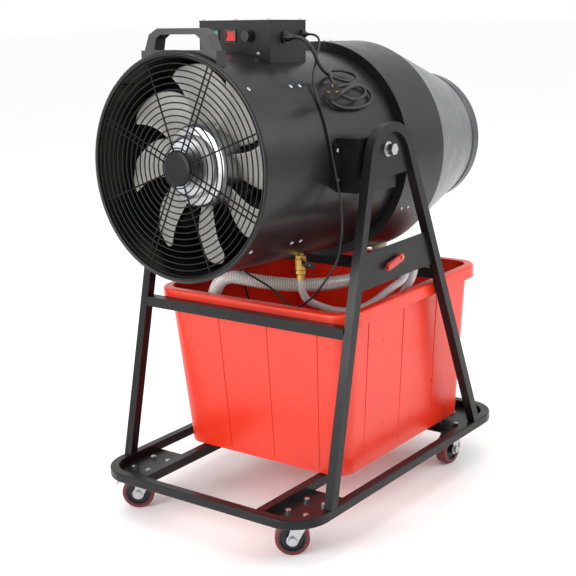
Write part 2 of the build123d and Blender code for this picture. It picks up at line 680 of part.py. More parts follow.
FLANGE_L = 14.0
with BuildPart() as outlet_cone:
    turned((BARREL_R, BARREL_REAR), (OUTLET_R, CONE_REAR), (OUTLET_R, OUTLET_REAR),
           (OUTLET_R - SHEET, OUTLET_REAR), (OUTLET_R - SHEET, CONE_REAR),
           (BARREL_R - SHEET, BARREL_REAR))
    with BuildSketch(level(0)):
        with Locations((OUTLET_R - 0.5, CONE_REAR + 2)):
            Circle(3)
    revolve(axis=DRUM_AXIS)
    turned((BARREL_R - SHEET, BARREL_REAR - FLANGE_L), (BARREL_R - 2 * SHEET, BARREL_REAR - FLANGE_L),
           (BARREL_R - 2 * SHEET, BARREL_REAR + 5 * SHEET), (BARREL_R - SHEET, BARREL_REAR))

# ---- inlet guard ----
RING_STEP = (GUARD_R - CAP_R - 4) / (GUARD_RINGS - 1)
SPOKES = [66 + 90 * k for k in range(4)]
SINGLES = [21 + 90 * k for k in range(4)]
with BuildPart() as guard_wires:
    for k in range(GUARD_RINGS):
        with BuildSketch(level(0)):
            with Locations((CAP_R + 4 + k * RING_STEP, GUARD_S)):
                Circle(GUARD_WIRE)
        revolve(axis=DRUM_AXIS)
    for angle in SPOKES + SINGLES:
        out = RIGHT * cos(radians(angle)) + UP * sin(radians(angle))
        across = RIGHT * -sin(radians(angle)) + UP * cos(radians(angle))
        for offset in ((-7, 7) if angle in SPOKES else (0,)):
            start = drum(0, GUARD_S + 2.6, 0) + across * offset
            rod(start + out * (CAP_R - 10), start + out * (GUARD_R + 0.5), 2.0)
    for angle in (45, 135, 225, 315):
        with BuildSketch(on_drum(angle, 0, DRUM_R - SHEET - 2.6)):
            with Locations((GUARD_S + 20, 0)):
                Rectangle(44, 18)
        extrude(amount=2)

with BuildPart() as guard_cap:
    with BuildSketch(section(GUARD_S + 0.6)):
        Circle(CAP_R)
    extrude(amount=8)
    fillet(guard_cap.edges().sort_by(Axis.Y)[:1], 3)

# ---- fan: outer-rotor motor, blades, stator and spider ----
with BuildPart() as fan_rotor:
    turned((0, ROTOR_FRONT), (62, ROTOR_FRONT), (70, ROTOR_FRONT + 6), (70, ROTOR_FRONT + 16),
           (86, ROTOR_FRONT + 20), (ROTOR_R, ROTOR_FRONT + 28), (ROTOR_R, ROTOR_REAR),
           (ROTOR_R - 6, ROTOR_REAR), (ROTOR_R - 6, ROTOR_FRONT + 34), (64, ROTOR_FRONT + 22),
           (8, ROTOR_FRONT + 22), (8, ROTOR_REAR), (0, ROTOR_REAR))

BLADE_S = (ROTOR_FRONT + 28 + ROTOR_REAR) / 2
with BuildPart() as fan_blades:
    for k in range(BLADES):
        angle = radians(360 / BLADES * k + BLADE_START)
        out = RIGHT * cos(angle) + UP * sin(angle)
        along = RIGHT * -sin(angle) + UP * cos(angle)
        chord = along * cos(radians(BLADE_PITCH)) - AXIS * sin(radians(BLADE_PITCH))
        with BuildSketch(Plane(origin=drum(0, BLADE_S, 0), x_dir=chord, z_dir=chord.cross(out))):
            with BuildLine():
                lead = Spline((-30, ROTOR_R - 5), (-44, 130), (-40, 180), (-14, BLADE_TIP - 6))
                tip = ThreePointArc(lead @ 1, (24, BLADE_TIP - 1), (60, BLADE_TIP - 22))
                nose = ThreePointArc(tip @ 1, (76, BLADE_TIP - 34), (76, BLADE_TIP - 52))
                trail = Spline(nose @ 1, (44, 140), (30, ROTOR_R - 5))
                Line(trail @ 1, lead @ 0)
            make_face()
        extrude(amount=1.25, both=True)
    with BuildSketch(section(ROTOR_REAR + 60)):
        Circle(ROTOR_R)
    extrude(amount=ROTOR_REAR - ROTOR_FRONT + 120, mode=Mode.SUBTRACT)

STATOR_R = 60.0
with BuildPart() as motor_stator:
    turned((8 + RUN_GAP, ROTOR_FRONT + 24), (STATOR_R, ROTOR_FRONT + 24), (STATOR_R, ROTOR_REAR + 6),
           (STATOR_R + 8, ROTOR_REAR + 6), (STATOR_R + 8, SPIDER_S - 3), (8 + RUN_GAP, SPIDER_S - 3))

FOOT_IN = DRUM_R - SHEET - 3.0
with BuildPart() as motor_spider:
    turned((0, SPIDER_S - 3), (STATOR_R + 10, SPIDER_S - 3), (STATOR_R + 10, SPIDER_S + 3),
           (0, SPIDER_S + 3))
    for angle in (45, 135, 225, 315):
        out = RIGHT * cos(radians(angle)) + UP * sin(radians(angle))
        across = RIGHT * -sin(radians(angle)) + UP * cos(radians(angle))
        with BuildSketch(Plane(origin=drum(0, SPIDER_S, 0) + out * STATOR_R, x_dir=across,
                               z_dir=out)):
            Rectangle(26, 6)
        extrude(amount=FOOT_IN - STATOR_R)
        with BuildSketch(on_drum(angle, SPIDER_S, FOOT_IN - 1)):
            Rectangle(64, 26)
        extrude(amount=3)

# ---- atomiser: motor on three arms, spinning disc, feed pipe ----
ATOM_R = 48.0
ATOM_S0 = 176.0
ATOM_S1 = DISC_S - 8.0
with BuildPart() as atomiser_motor:
    turned((0, ATOM_S0), (ATOM_R - 8, ATOM_S0), (ATOM_R, ATOM_S0 + 8), (ATOM_R, ATOM_S1 - 8),
           (ATOM_R - 10, ATOM_S1), (6 + RUN_GAP, ATOM_S1), (6 + RUN_GAP, ATOM_S0 + 10),
           (0, ATOM_S0 + 10))
    for angle in (90, 210, 330):
        out = RIGHT * cos(radians(angle)) + UP * sin(radians(angle))
        across = RIGHT * -sin(radians(angle)) + UP * cos(radians(angle))
        with BuildSketch(Plane(origin=drum(0, ATOM_S0 + 24, 0) + out * (ATOM_R - 4),
                               x_dir=across, z_dir=out)):
            Rectangle(24, 5)
        extrude(amount=BARREL_R - SHEET - 3 - ATOM_R + 4)
        with BuildSketch(on_drum(angle, ATOM_S0 + 24, BARREL_R - SHEET - 4)):
            Rectangle(50, 24)
        extrude(amount=3)

with BuildPart() as atomiser_disc:
    turned((0, ATOM_S0 + 12), (6, ATOM_S0 + 12), (6, ATOM_S1), (16, ATOM_S1 + 4), (16, DISC_S),
           (DISC_R, DISC_S), (DISC_R, DISC_S + 14), (DISC_R - 3, DISC_S + 14),
           (DISC_R - 3, DISC_S + 4), (12, DISC_S + 4), (0, DISC_S + 4))
    with BuildSketch(section(DISC_S + 3)):
        with PolarLocations(62, 16):
            Rectangle(64, 2.5)
    extrude(amount=-9)

PIPE_R = 5.0
with BuildPart() as feed_pipe:
    with BuildLine():
        run = FilletPolyline(drum(FEED_X - 4, FEED_S, FEED_N + 8), drum(74, FEED_S, FEED_N + 48.9),
                             drum(56, 40, FEED_N + 84.9), drum(20, DISC_S + 52, FEED_N + 96.9),
                             drum(0, DISC_S + 52, -40), drum(0, DISC_S + 22, 0), radius=22)
    with BuildSketch(Plane(origin=run @ 0, z_dir=run % 0)):
        Circle(PIPE_R)
    sweep(path=run)

# ---- drain spigot under the barrel, ball valve under the drum ----
SPIGOT_X = 85.0
SPIGOT_S = 300.0
SPIGOT_N = -sqrt(BARREL_R ** 2 - SPIGOT_X ** 2)
SPIGOT_DIP = 41.0
KNEE = drum(SPIGOT_X, SPIGOT_S, SPIGOT_N - 18)
BARB_WAY = -AXIS * cos(radians(SPIGOT_DIP)) - UP * sin(radians(SPIGOT_DIP))
SPIGOT_END = KNEE + BARB_WAY * 40
with BuildPart() as drain_spigot:
    rod(drum(SPIGOT_X, SPIGOT_S, SPIGOT_N + 6), KNEE, 14)
    with BuildSketch(level(SPIGOT_N + 12)):
        with Locations((SPIGOT_X, SPIGOT_S)):
            Circle(24)
    extrude(amount=-15)
    rod(KNEE, SPIGOT_END, 14)
    with Locations(KNEE):
        Sphere(14)
    rod(SPIGOT_END - BARB_WAY * 16, SPIGOT_END, DRAIN_HOSE_R + 2)
    with BuildSketch(section(SPIGOT_S + 60)):
        Circle(BARREL_R)
    extrude(amount=120, mode=Mode.SUBTRACT)

VALVE_BODY_N = FEED_N - 24.0
FEED_END_N = FEED_N - 62.0
with BuildPart() as feed_valve:
    rod(drum(FEED_X, FEED_S, FEED_N + 10), drum(FEED_X, FEED_S, FEED_END_N), 6.5)
    for n, h, r in ((FEED_N - 2, 9, 12), (VALVE_BODY_N + 12, 24, 13.5), (VALVE_BODY_N - 14, 9, 11)):
        with BuildSketch(level(n)):
            with Locations((FEED_X, FEED_S)):
                RegularPolygon(r, 6, major_radius=False) if r < 13 else Circle(r)
        extrude(amount=-h)
    rod(drum(FEED_X, FEED_S, FEED_END_N + 13), drum(FEED_X, FEED_S, FEED_END_N), THIN_HOSE_R + 1.5)
    rod(drum(FEED_X, FEED_S, VALVE_BODY_N), drum(FEED_X + 26, FEED_S, VALVE_BODY_N), STEM_R)
    rod(drum(FEED_X, FEED_S, VALVE_BODY_N), drum(FEED_X + 18, FEED_S, VALVE_BODY_N), 7)
    with BuildSketch(section(-140)):
        Circle(DRUM_R)
    extrude(amount=-240, mode=Mode.SUBTRACT)

with BuildPart() as feed_lever:
    with BuildSketch(beside(FEED_X + 18 + AIR)):
        with Locations((FEED_S, VALVE_BODY_N)):
            Circle(8)
            SlotOverall(46, 12, rotation=-20)
            Circle(STEM_R + RUN_GAP, mode=Mode.SUBTRACT)
    extrude(amount=9)

# ---- pivot brackets on the drum's sides ----
BRACKET_S0 = -92.0
BRACKET_S1 = 62.0
BRACKET_N0 = -62.0
BRACKET_N1 = 58.0
with BuildPart() as pivot_brackets:
    for side in (-1, 1):
        mid_s = (BRACKET_S0 + BRACKET_S1) / 2
        mid_n = (BRACKET_N0 + BRACKET_N1) / 2
        span = BRACKET_S1 - BRACKET_S0
        rise = BRACKET_N1 - BRACKET_N0
        depth = BRACKET_X - DRUM_R + 40
        with BuildSketch(beside(side * BRACKET_X)):
            with Locations((mid_s, mid_n)):
                Rectangle(span, rise)
        extrude(amount=-side * depth)
        with BuildSketch(beside(side * (BRACKET_X - BRACKET_T))):
            with Locations((mid_s, mid_n)):
                Rectangle(span - 2 * BRACKET_T, rise)
        extrude(amount=-side * depth, mode=Mode.SUBTRACT)
        with BuildSketch(beside(side * (DRUM_R - 20))):
            with Locations((BRACKET_S0 - 10, mid_n), (BRACKET_S1 + 10, mid_n)):
                Rectangle(20 + 2 * BRACKET_T, rise - 24)
        extrude(amount=side * 26)
        with BuildSketch(beside(side * BRACKET_X)):
            with Locations((0, PIVOT_RISE)):
                Circle(PIVOT_R + RUN_GAP)
        extrude(amount=-side * (BRACKET_T + 1), mode=Mode.SUBTRACT)
    with BuildSketch(section(BRACKET_S1 + 60)):
        Circle(DRUM_R)
    extrude(amount=span + 140, mode=Mode.SUBTRACT)

# ---- carrying handle over the front rim ----
HANDLE_S0 = -342.0
HANDLE_D = 32.0
HANDLE_BASE_N = DRUM_R + 7
GRIP_TOP = HANDLE_BASE_N + 47
with BuildPart() as carry_handle:
    with BuildSketch(section(HANDLE_S0 + HANDLE_D)):
        with Locations((0, HANDLE_BASE_N - 20)):
            Rectangle(216, 40)
        with BuildLine():
            Polyline((-98, HANDLE_BASE_N - 1), (-84, GRIP_TOP - 13), (-60, GRIP_TOP), (60, GRIP_TOP),
                     (84, GRIP_TOP - 13), (98, HANDLE_BASE_N - 1), close=True)
        make_face()
        with BuildLine():
            Polyline((-69, HANDLE_BASE_N + 1), (-64, GRIP_TOP - 22), (-50, GRIP_TOP - 13),
                     (50, GRIP_TOP - 13), (64, GRIP_TOP - 22), (69, HANDLE_BASE_N + 1), close=True)
        make_face(mode=Mode.SUBTRACT)
        Circle(DRUM_R, mode=Mode.SUBTRACT)
    extrude(amount=HANDLE_D)
    fillet(carry_handle.edges().filter_by(Axis(DRUM_O, AXIS)).group_by(Axis.Z)[-1], 10)

# ---- control box ----
BOX_MID = (BOX_S0 + BOX_S1) / 2
BOX_D = BOX_S1 - BOX_S0
LID_T = 2.0
KNOB_SHAFT_R = 3.0
GLAND_S = -105.0
GLAND_N = BOX_TOP - 36
GLAND2_S = -39.0
GLAND2_N = BOX_TOP - 30
with BuildPart() as control_box:
    with BuildSketch(level(BOX_TOP)):
        with Locations((0, BOX_MID)):
            Rectangle(BOX_W, BOX_D)
            Rectangle(BOX_W - 2 * BOX_WALL, BOX_D - 2 * BOX_WALL, mode=Mode.SUBTRACT)
    extrude(amount=-BOX_TOP + 200)
    with BuildSketch(level(BOX_TOP)):
        with Locations((0, BOX_MID)):
            Rectangle(BOX_W - 2 * BOX_WALL, BOX_D - 2 * BOX_WALL)
            Rectangle(BOX_W - 26, BOX_D - 26, mode=Mode.SUBTRACT)
    extrude(amount=-BOX_WALL)
    with BuildSketch(section(BOX_S0 + BOX_WALL + 1)):
        with Locations((RED_X, SWITCH_N), (GREEN_X, SWITCH_N)):
            Rectangle(SWITCH_W - 4, SWITCH_H - 4)
        with Locations((KNOB_X, SWITCH_N)):
            Circle(KNOB_SHAFT_R + 1)
    extrude(amount=BOX_WALL + 2, mode=Mode.SUBTRACT)
    for s, n, r in ((GLAND_S, GLAND_N, 9), (GLAND2_S, GLAND2_N, 5)):
        rod(drum(BOX_W / 2 - 4, s, n), drum(BOX_W / 2 + 2, s, n), r, mode=Mode.SUBTRACT)
    with BuildSketch(section(BOX_S1 + 1)):
        Circle(DRUM_R)
    extrude(amount=BOX_D + 2, mode=Mode.SUBTRACT)

with BuildPart() as box_lid:
    with BuildSketch(level(BOX_TOP)):
        with Locations((0, BOX_MID)):
            Rectangle(BOX_W + 2, BOX_D + 2)
    extrude(amount=LID_T)

BEZEL = 2.5
with BuildPart() as panel_fittings:
    with BuildSketch(section(BOX_S0)):
        with Locations((RED_X, SWITCH_N), (GREEN_X, SWITCH_N)):
            Rectangle(SWITCH_W, SWITCH_H)
            Rectangle(SWITCH_W - 6, SWITCH_H - 6, mode=Mode.SUBTRACT)
    extrude(amount=BEZEL)
    with BuildSketch(section(BOX_S0)):
        with Locations((RED_X, SWITCH_N), (GREEN_X, SWITCH_N)):
            Rectangle(SWITCH_W - 4, SWITCH_H - 4)
            Rectangle(SWITCH_W - 6, SWITCH_H - 6, mode=Mode.SUBTRACT)
    extrude(amount=-20)
    with BuildSketch(section(BOX_S0 + 20)):
        with Locations((RED_X, SWITCH_N), (GREEN_X, SWITCH_N)):
            Rectangle(SWITCH_W - 4, SWITCH_H - 4)
    extrude(amount=-3)
    with BuildSketch(section(BOX_S0 + 4)):
        with Locations((KNOB_X, SWITCH_N)):
            Circle(12)
            Circle(KNOB_SHAFT_R + RUN_GAP, mode=Mode.SUBTRACT)
    extrude(amount=-14)
    for s, n, r, length in ((GLAND_S, GLAND_N, 9, 22), (GLAND2_S, GLAND2_N, 5, 12)):
        rod(drum(BOX_W / 2 - 8, s, n), drum(BOX_W / 2 + 6, s, n), r - AIR)
        with BuildSketch(beside(BOX_W / 2)):
            with Locations((s, n)):
                RegularPolygon(r + 4, 6, major_radius=False)
        extrude(amount=6)
        with BuildSketch(beside(BOX_W / 2 + 6)):
            with Locations((s, n)):
                Circle(r + 2)
        with BuildSketch(beside(BOX_W / 2 + 6 + length)):
            with Locations((s, n)):
                Circle(r * 0.62)
        loft()

ROCKER_HALF = (SWITCH_H - 6) / 2 - 0.9
ROCKER_TILT = 7.0
ROCKER_S = BOX_S0 + 4.0


def rocker(x):
    """A rocker cap with two faces that meet in a shallow valley, pressed in at the top."""
    lean = radians(ROCKER_TILT)
    corners = []
    for s, n in ((-5.5, -ROCKER_HALF), (-3.6, 0), (-5.5, ROCKER_HALF), (3, ROCKER_HALF - 3),
                 (6, 0), (3, -ROCKER_HALF + 3)):
        corners.append((ROCKER_S + s * cos(lean) + n * sin(lean) * 0.6,
                        SWITCH_N - s * sin(lean) * 0.6 + n * cos(lean)))
    with BuildSketch(beside(x)) as sk:
        with BuildLine():
            Polyline(*corners, close=True)
        make_face()
    extrude(sk.sketch, amount=(SWITCH_W - 6) / 2 - 0.4, both=True)


with BuildPart() as rocker_red:
    rocker(RED_X)
with BuildPart() as rocker_green:
    rocker(GREEN_X)

with BuildPart() as speed_knob:
    with BuildSketch(section(BOX_S0 - 1)):
        with Locations((KNOB_X, SWITCH_N)):
            Circle(KNOB_R)
    extrude(amount=5)
    with BuildSketch(section(BOX_S0 - 6)):
        with Locations((KNOB_X, SWITCH_N)):
            Circle(KNOB_R - 3)
            with PolarLocations(KNOB_R - 3, 18):
                Circle(0.8)
    extrude(amount=10)
    with BuildSketch(section(BOX_S0 - 1)):
        with Locations((KNOB_X, SWITCH_N)):
            Circle(KNOB_SHAFT_R)
    extrude(amount=-14)

# ---- visible screws and rivets of the drum ----
SCREW_R = 5.0
SCREW_H = 3.0


def screw(place, r=SCREW_R, h=SCREW_H):
    """A low round head standing on a surface."""
    with BuildSketch(place) as seat:
        Circle(r)
    with BuildSketch(place.offset(h)) as crown:
        Circle(r * 0.6)
    loft([seat.sketch.face(), crown.sketch.face()])


with BuildPart() as drum_screws:
    for angle in (45, 135, 225, 315):
        for s in (-315, SPIDER_S - 16, SPIDER_S + 16):
            screw(on_drum(angle, s, DRUM_R))
    for side in (-1, 1):
        for s in (BRACKET_S0 - 12, BRACKET_S1 + 12):
            for n in (-34, 32):
                screw(Plane(origin=drum(side * (DRUM_R + 6), s, n), x_dir=AXIS,
                            z_dir=RIGHT * side), 5.5, 3.5)
    for angle in (90, 210, 330):
        for s in (ATOM_S0 + 10, ATOM_S0 + 38):
            screw(on_drum(angle, s, BARREL_R))
    for x in (-BOX_W / 2 + 8, 0, BOX_W / 2 - 8):
        for s in (BOX_S0 + 8, BOX_S1 - 8):
            plane = level(BOX_TOP + LID_T)
            screw(Plane(origin=plane.from_local_coords(Vector(x, s, 0)), x_dir=RIGHT, z_dir=UP),
                  3.5, 2.0)
    screw(Plane(origin=drum(BOX_W / 2 - 34, BOX_S0, 240), x_dir=RIGHT, z_dir=-AXIS), 4, 2)

# ---- cords and hoses ----
TANK_IN = BODY_W / 2 - TANK_WALL
HANK_ANGLE = 38.0
HANK_S = -2.0
HANK_L = 196.0
HANK_W = 140.0
HANK_T = 24.0
with BuildPart() as drain_hose:
    with BuildLine():
        line = route([SPIGOT_END, SPIGOT_END + BARB_WAY * 48, at(76, 90, 418), at(52, 20, 422),
                      at(8, -55, 433), at(-52, -118, 452), at(-108, -152, 468),
                      at(-139, -166, 432), at(-141, -168, 372), at(-138, -160, 300)],
                     "drain hose", DRAIN_HOSE_R)
    with BuildSketch(Plane(origin=line @ 0, z_dir=line % 0)):
        Circle(DRAIN_HOSE_R)
    sweep(path=line)

FEED_END = drum(FEED_X, FEED_S, FEED_END_N)
with BuildPart() as feed_hose:
    with BuildLine():
        line = route([FEED_END, FEED_END - UP * 42, at(112, -74, 398),
                      at(TANK_IN - 115, -46, 382), at(TANK_IN - 61, -14, 396),
                      at(TANK_IN - 17, 20, 440),
                      at(MANIFOLD_X, HOSE_A_Y, 462), at(MANIFOLD_X, HOSE_A_Y, BARB_Z)],
                     "feed hose", THIN_HOSE_R)
    with BuildSketch(Plane(origin=line @ 0, z_dir=line % 0)):
        Circle(THIN_HOSE_R)
    sweep(path=line)

with BuildPart() as supply_hose:
    with BuildLine():
        line = route([at(MANIFOLD_X, HOSE_B_Y, BARB_Z), at(MANIFOLD_X, HOSE_B_Y, 460),
                      at(TANK_IN - 35, 80, 400), at(TANK_IN - 79, 60, 318),
                      at(TANK_IN - 145, 20, 256), at(TANK_IN - 225, -24, 240),
                      PUMP_OUT + Vector(0, 0, 62), PUMP_OUT], "supply hose", THIN_HOSE_R)
    with BuildSketch(Plane(origin=line @ 0, z_dir=line % 0)):
        Circle(THIN_HOSE_R)
    sweep(path=line)

with BuildPart() as pump_cable:
    with BuildLine():
        around = [drum(r * cos(radians(a)), s, r * sin(radians(a)))
                  for a, s, r in ((56, -60, DRUM_R + 47), (48, -92, DRUM_R + 11), (38, -114, DRUM_R + 5),
                                  (22, -124, DRUM_R + 6), (4, -125, DRUM_R + 7))]
        line = route([drum(BOX_W / 2 + 18, GLAND2_S, GLAND2_N), drum(154, GLAND2_S, GLAND2_N),
                      *around, at(262, -174, 670), at(254, -168, 596),
                      at(240, -170, 540), at(206, -172, 494), at(150, -152, 440),
                      at(90, -132, 405), at(40, -104, 400), at(0, -112, 440), at(-48, -160, 486),
                      at(-92, -124, 492), at(-104, -92, 430), at(-92, -76, 350),
                      CABLE_END + Vector(0, 0, 100), CABLE_END],
                     "pump cable", PUMP_CABLE_R)
    with BuildSketch(Plane(origin=line @ 0, z_dir=line % 0)):
        Circle(PUMP_CABLE_R)
    sweep(path=line)

with BuildPart() as power_cord:
    with BuildLine():
        line = route([drum(BOX_W / 2 + 28, GLAND_S, GLAND_N), drum(156, GLAND_S, GLAND_N),
                      drum(180, -98, 252), drum(184, -82, 226), drum(179, -68, 210)],
                     "power cord to the hank", MAINS_R)
    with BuildSketch(Plane(origin=line @ 0, z_dir=line % 0)):
        Circle(MAINS_R)
    sweep(path=line)

with BuildPart() as power_cord_hank:
    with BuildSketch(on_drum(HANK_ANGLE, HANK_S, DRUM_R - 16)):
        Ellipse(HANK_L / 2, HANK_W / 2)
    extrude(amount=16 + HANK_T)
    with BuildSketch(section(HANK_S + HANK_L)):
        Circle(DRUM_R + 0.3)
    extrude(amount=2 * HANK_L, mode=Mode.SUBTRACT)

PLUG_O = on_drum(33, -118, DRUM_R + HANK_T + 23).origin
PLUG_WAY = Vector(0.60, -0.76, 0.25).normalized()
PLUG = Plane(origin=PLUG_O, x_dir=PLUG_WAY.cross(Vector(0, 0, 1)), z_dir=PLUG_WAY)
with BuildPart() as mains_plug:
    with BuildSketch(PLUG.offset(-8)):
        Circle(7)
    with BuildSketch(PLUG.offset(8)):
        Circle(18)
    loft()
    with BuildSketch(PLUG.offset(8)):
        RegularPolygon(19, 8)
    extrude(amount=12)
    for x, y, turn in ((-9, 4, 30), (9, 4, -30), (0, -9, 90)):
        with BuildSketch(PLUG.offset(20)):
            with Locations(Location((x, y, 0), (0, 0, turn))):
                Rectangle(6.3, 1.8)
        extrude(amount=18)

PARTS = dict(base_ring=base_ring, base_bars=base_bars, corner_plates=corner_plates,
             a_frame_left=a_frame_left, a_frame_right=a_frame_right, arch_plates=arch_plates,
             side_panels=side_panels, crossbars=crossbars, caster_plates=caster_plates,
             frame_bolts=frame_bolts, pivot_pins=pivot_pins, tank=tank, pump_body=pump_body,
             panel_valve=panel_valve, panel_lever=panel_lever, drum_shell=drum_shell,
             mist_barrel=mist_barrel, outlet_cone=outlet_cone, guard_wires=guard_wires,
             guard_cap=guard_cap, fan_rotor=fan_rotor, fan_blades=fan_blades,
             motor_stator=motor_stator, motor_spider=motor_spider,
             atomiser_motor=atomiser_motor, atomiser_disc=atomiser_disc, feed_pipe=feed_pipe,
             drain_spigot=drain_spigot, feed_valve=feed_valve, feed_lever=feed_lever,
             pivot_brackets=pivot_brackets, carry_handle=carry_handle,
             control_box=control_box, box_lid=box_lid, panel_fittings=panel_fittings,
             rocker_red=rocker_red, rocker_green=rocker_green, speed_knob=speed_knob,
             drum_screws=drum_screws, fork_fl=fork_fl, fork_fr=fork_fr, fork_rl=fork_rl,
             fork_rr=fork_rr, core_fl=core_fl, core_fr=core_fr, core_rl=core_rl,
             core_rr=core_rr, tread_fl=tread_fl, tread_fr=tread_fr, tread_rl=tread_rl,
             tread_rr=tread_rr, pedal_fl=pedal_fl, pedal_rl=pedal_rl, drain_hose=drain_hose,
             feed_hose=feed_hose, supply_hose=supply_hose, pump_cable=pump_cable,
             power_cord=power_cord, power_cord_hank=power_cord_hank, mains_plug=mains_plug)
for name, piece in PARTS.items():
    piece.part.label = name
    export_step(piece.part, f"parts/{name}.step")
print(len(PARTS), "parts")
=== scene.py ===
# %% [markdown]
# # Evaporative cooler
# A misting fan: a steel drum tilts on two bent-tube A-frames, over a water tank on casters.
# Everything could be modelled here by eye, but the CAD bodies already have the true sizes, so
# they come in first as a fixed frame. Every later cell gives a finish to a body, or swaps a
# plain body for a piece with the detail of the real one.

# %% Load the frame
from math import cos, pi, radians, sin, sqrt

import bpy
import bmesh
from mathutils import Matrix, Vector


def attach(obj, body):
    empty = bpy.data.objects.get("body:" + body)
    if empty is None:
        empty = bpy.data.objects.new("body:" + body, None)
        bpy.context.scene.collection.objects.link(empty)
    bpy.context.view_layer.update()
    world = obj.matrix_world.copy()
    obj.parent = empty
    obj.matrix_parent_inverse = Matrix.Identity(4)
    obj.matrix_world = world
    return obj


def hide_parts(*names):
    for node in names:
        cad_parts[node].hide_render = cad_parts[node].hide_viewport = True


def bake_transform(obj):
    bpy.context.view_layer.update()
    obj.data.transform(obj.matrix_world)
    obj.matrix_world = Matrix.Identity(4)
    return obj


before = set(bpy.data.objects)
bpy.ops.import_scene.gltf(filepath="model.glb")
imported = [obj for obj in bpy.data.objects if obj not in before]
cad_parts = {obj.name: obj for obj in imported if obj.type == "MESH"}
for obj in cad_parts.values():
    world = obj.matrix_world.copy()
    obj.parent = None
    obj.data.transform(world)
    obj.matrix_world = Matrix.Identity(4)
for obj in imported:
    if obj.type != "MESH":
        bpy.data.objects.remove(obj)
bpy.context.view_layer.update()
scene = bpy.context.scene
print(len(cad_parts), "bodies of the cooler are in")

# %% [markdown]
# The drum dips a few degrees towards its outlet. Its parts could be placed in the room's own
# axes, but then every place would need the slope worked in. Here a point is given as the
# drum's maker would: side, station along the axis and height over it, in millimetres.

# %% Directions and places
MM = 0.001
TILT = radians(3.7)
SHIFT_Y = -80.94 * MM
CASTER_H = 103 * MM
AXIS = Vector((0, cos(TILT), -sin(TILT)))
UP = Vector((0, sin(TILT), cos(TILT)))
RIGHT = Vector((1, 0, 0))
DRUM_R = 243.0
BARREL_R = 264.5
PIVOT_OVER_AXIS = 30.7


def at(x, y, z):
    """A point in millimetres from the middle of the base ring's underside."""
    return Vector((x * MM, y * MM + SHIFT_Y, z * MM + CASTER_H))


DRUM_O = at(0, -60, 785) - UP * PIVOT_OVER_AXIS * MM


def drum(x, s, n):
    """A point of the drum in millimetres: side, station along the axis, height over it."""
    return DRUM_O + (RIGHT * x + AXIS * s + UP * n) * MM


def on_shell(angle, s, r):
    """A point round the drum: angle from the right-hand side, station and radius."""
    a = radians(angle)
    return drum(r * cos(a), s, r * sin(a))


def outward(angle):
    """The direction out of the drum at an angle from the right-hand side."""
    return RIGHT * cos(radians(angle)) + UP * sin(radians(angle))


print("drum axis starts at", [round(v, 3) for v in DRUM_O])

# %% [markdown]
# The camera stands in front and to the right, about three metres off. A near camera with a
# short lens would swell the inlet, so a longer lens is used and the round inlet keeps its
# shape. It leans a little, as a hand-held one does.

# %% Camera
yaw, dip, roll = radians(38.4), radians(14.61), radians(-2.8)
CAMERA_AT = Vector((1.8342, -2.3638 + SHIFT_Y, 1.1937 + CASTER_H))
ahead = Vector((-sin(yaw) * cos(dip), cos(yaw) * cos(dip), -sin(dip)))
across = ahead.cross(Vector((0, 0, 1))).normalized()
upward = across.cross(ahead)
side = across * cos(roll) + upward * sin(roll)
top = upward * cos(roll) - across * sin(roll)
camera = bpy.data.objects.new("camera", bpy.data.cameras.new("camera"))
camera.data.sensor_width = 36
camera.data.lens = 77.64
camera.data.clip_end = 50
camera.matrix_world = (Matrix.Translation(CAMERA_AT)
                       @ Matrix((side, top, -ahead)).transposed().to_4x4())
scene.collection.objects.link(camera)
scene.camera = camera
print("camera at", [round(v, 2) for v in camera.location])

# %% [markdown]
# Every finish is a small node tree. It could be painted as an image, but noise in the
# object's own space needs no unwrapping and has no seams. One function adds a node and fills
# its sockets: a value sets a socket, and an output of another node is linked to it.

# %% Helpers for finishes


def shade(code):
    """A screen colour such as C8301A as linear red, green, blue and alpha."""
    parts = [int(code[i:i + 2], 16) / 255 for i in (0, 2, 4)]
    return tuple(c / 12.92 if c <= 0.04045 else ((c + 0.055) / 1.055) ** 2.4
                 for c in parts) + (1.0,)


def add(tree, kind, inputs=None, **settings):
    """Add a node to a tree, with its settings and its inputs."""
    node = tree.nodes.new(kind)
    for key, value in settings.items():
        setattr(node, key, value)
    for key, value in (inputs or {}).items():
        if isinstance(value, bpy.types.NodeSocket):
            tree.links.new(value, node.inputs[key])
        else:
            node.inputs[key].default_value = value
    return node


def finish(name, **values):
    """A new material and its shader, with plain values set on the shader's sockets."""
    material = bpy.data.materials.new(name)
    material.use_nodes = True
    shader = material.node_tree.nodes["Principled BSDF"]
    for key, value in values.items():
        shader.inputs[key.replace("_", " ")].default_value = value
    return material, material.node_tree, shader


def grain(tree, size_mm, detail=3.0, stretch=(1, 1, 1)):
    """Noise whose blobs are about size_mm across, fixed to the piece."""
    place = add(tree, "ShaderNodeTexCoord")
    scaled = add(tree, "ShaderNodeMapping", {"Vector": place.outputs["Object"], "Scale": stretch})
    return add(tree, "ShaderNodeTexNoise", {"Vector": scaled.outputs["Vector"],
                                            "Scale": 1000 / size_mm, "Detail": detail})


def spread(tree, source, low, high):
    """Map a noise's middle range onto low to high."""
    return add(tree, "ShaderNodeMapRange", {"Value": source, "From Min": 0.3, "From Max": 0.7,
                                            "To Min": low, "To Max": high}).outputs["Result"]


def two_tone(tree, factor, first, second):
    """Mix two colours by a factor."""
    mixed = add(tree, "ShaderNodeMix", {0: factor, 6: first, 7: second}, data_type="RGBA")
    return mixed.outputs[2]


def relief(tree, shader, height, depth_mm, strength=1.0):
    """Raise the surface by a height pattern."""
    bump = add(tree, "ShaderNodeBump", {"Height": height, "Distance": depth_mm * MM,
                                        "Strength": strength})
    tree.links.new(bump.outputs["Normal"], shader.inputs["Normal"])


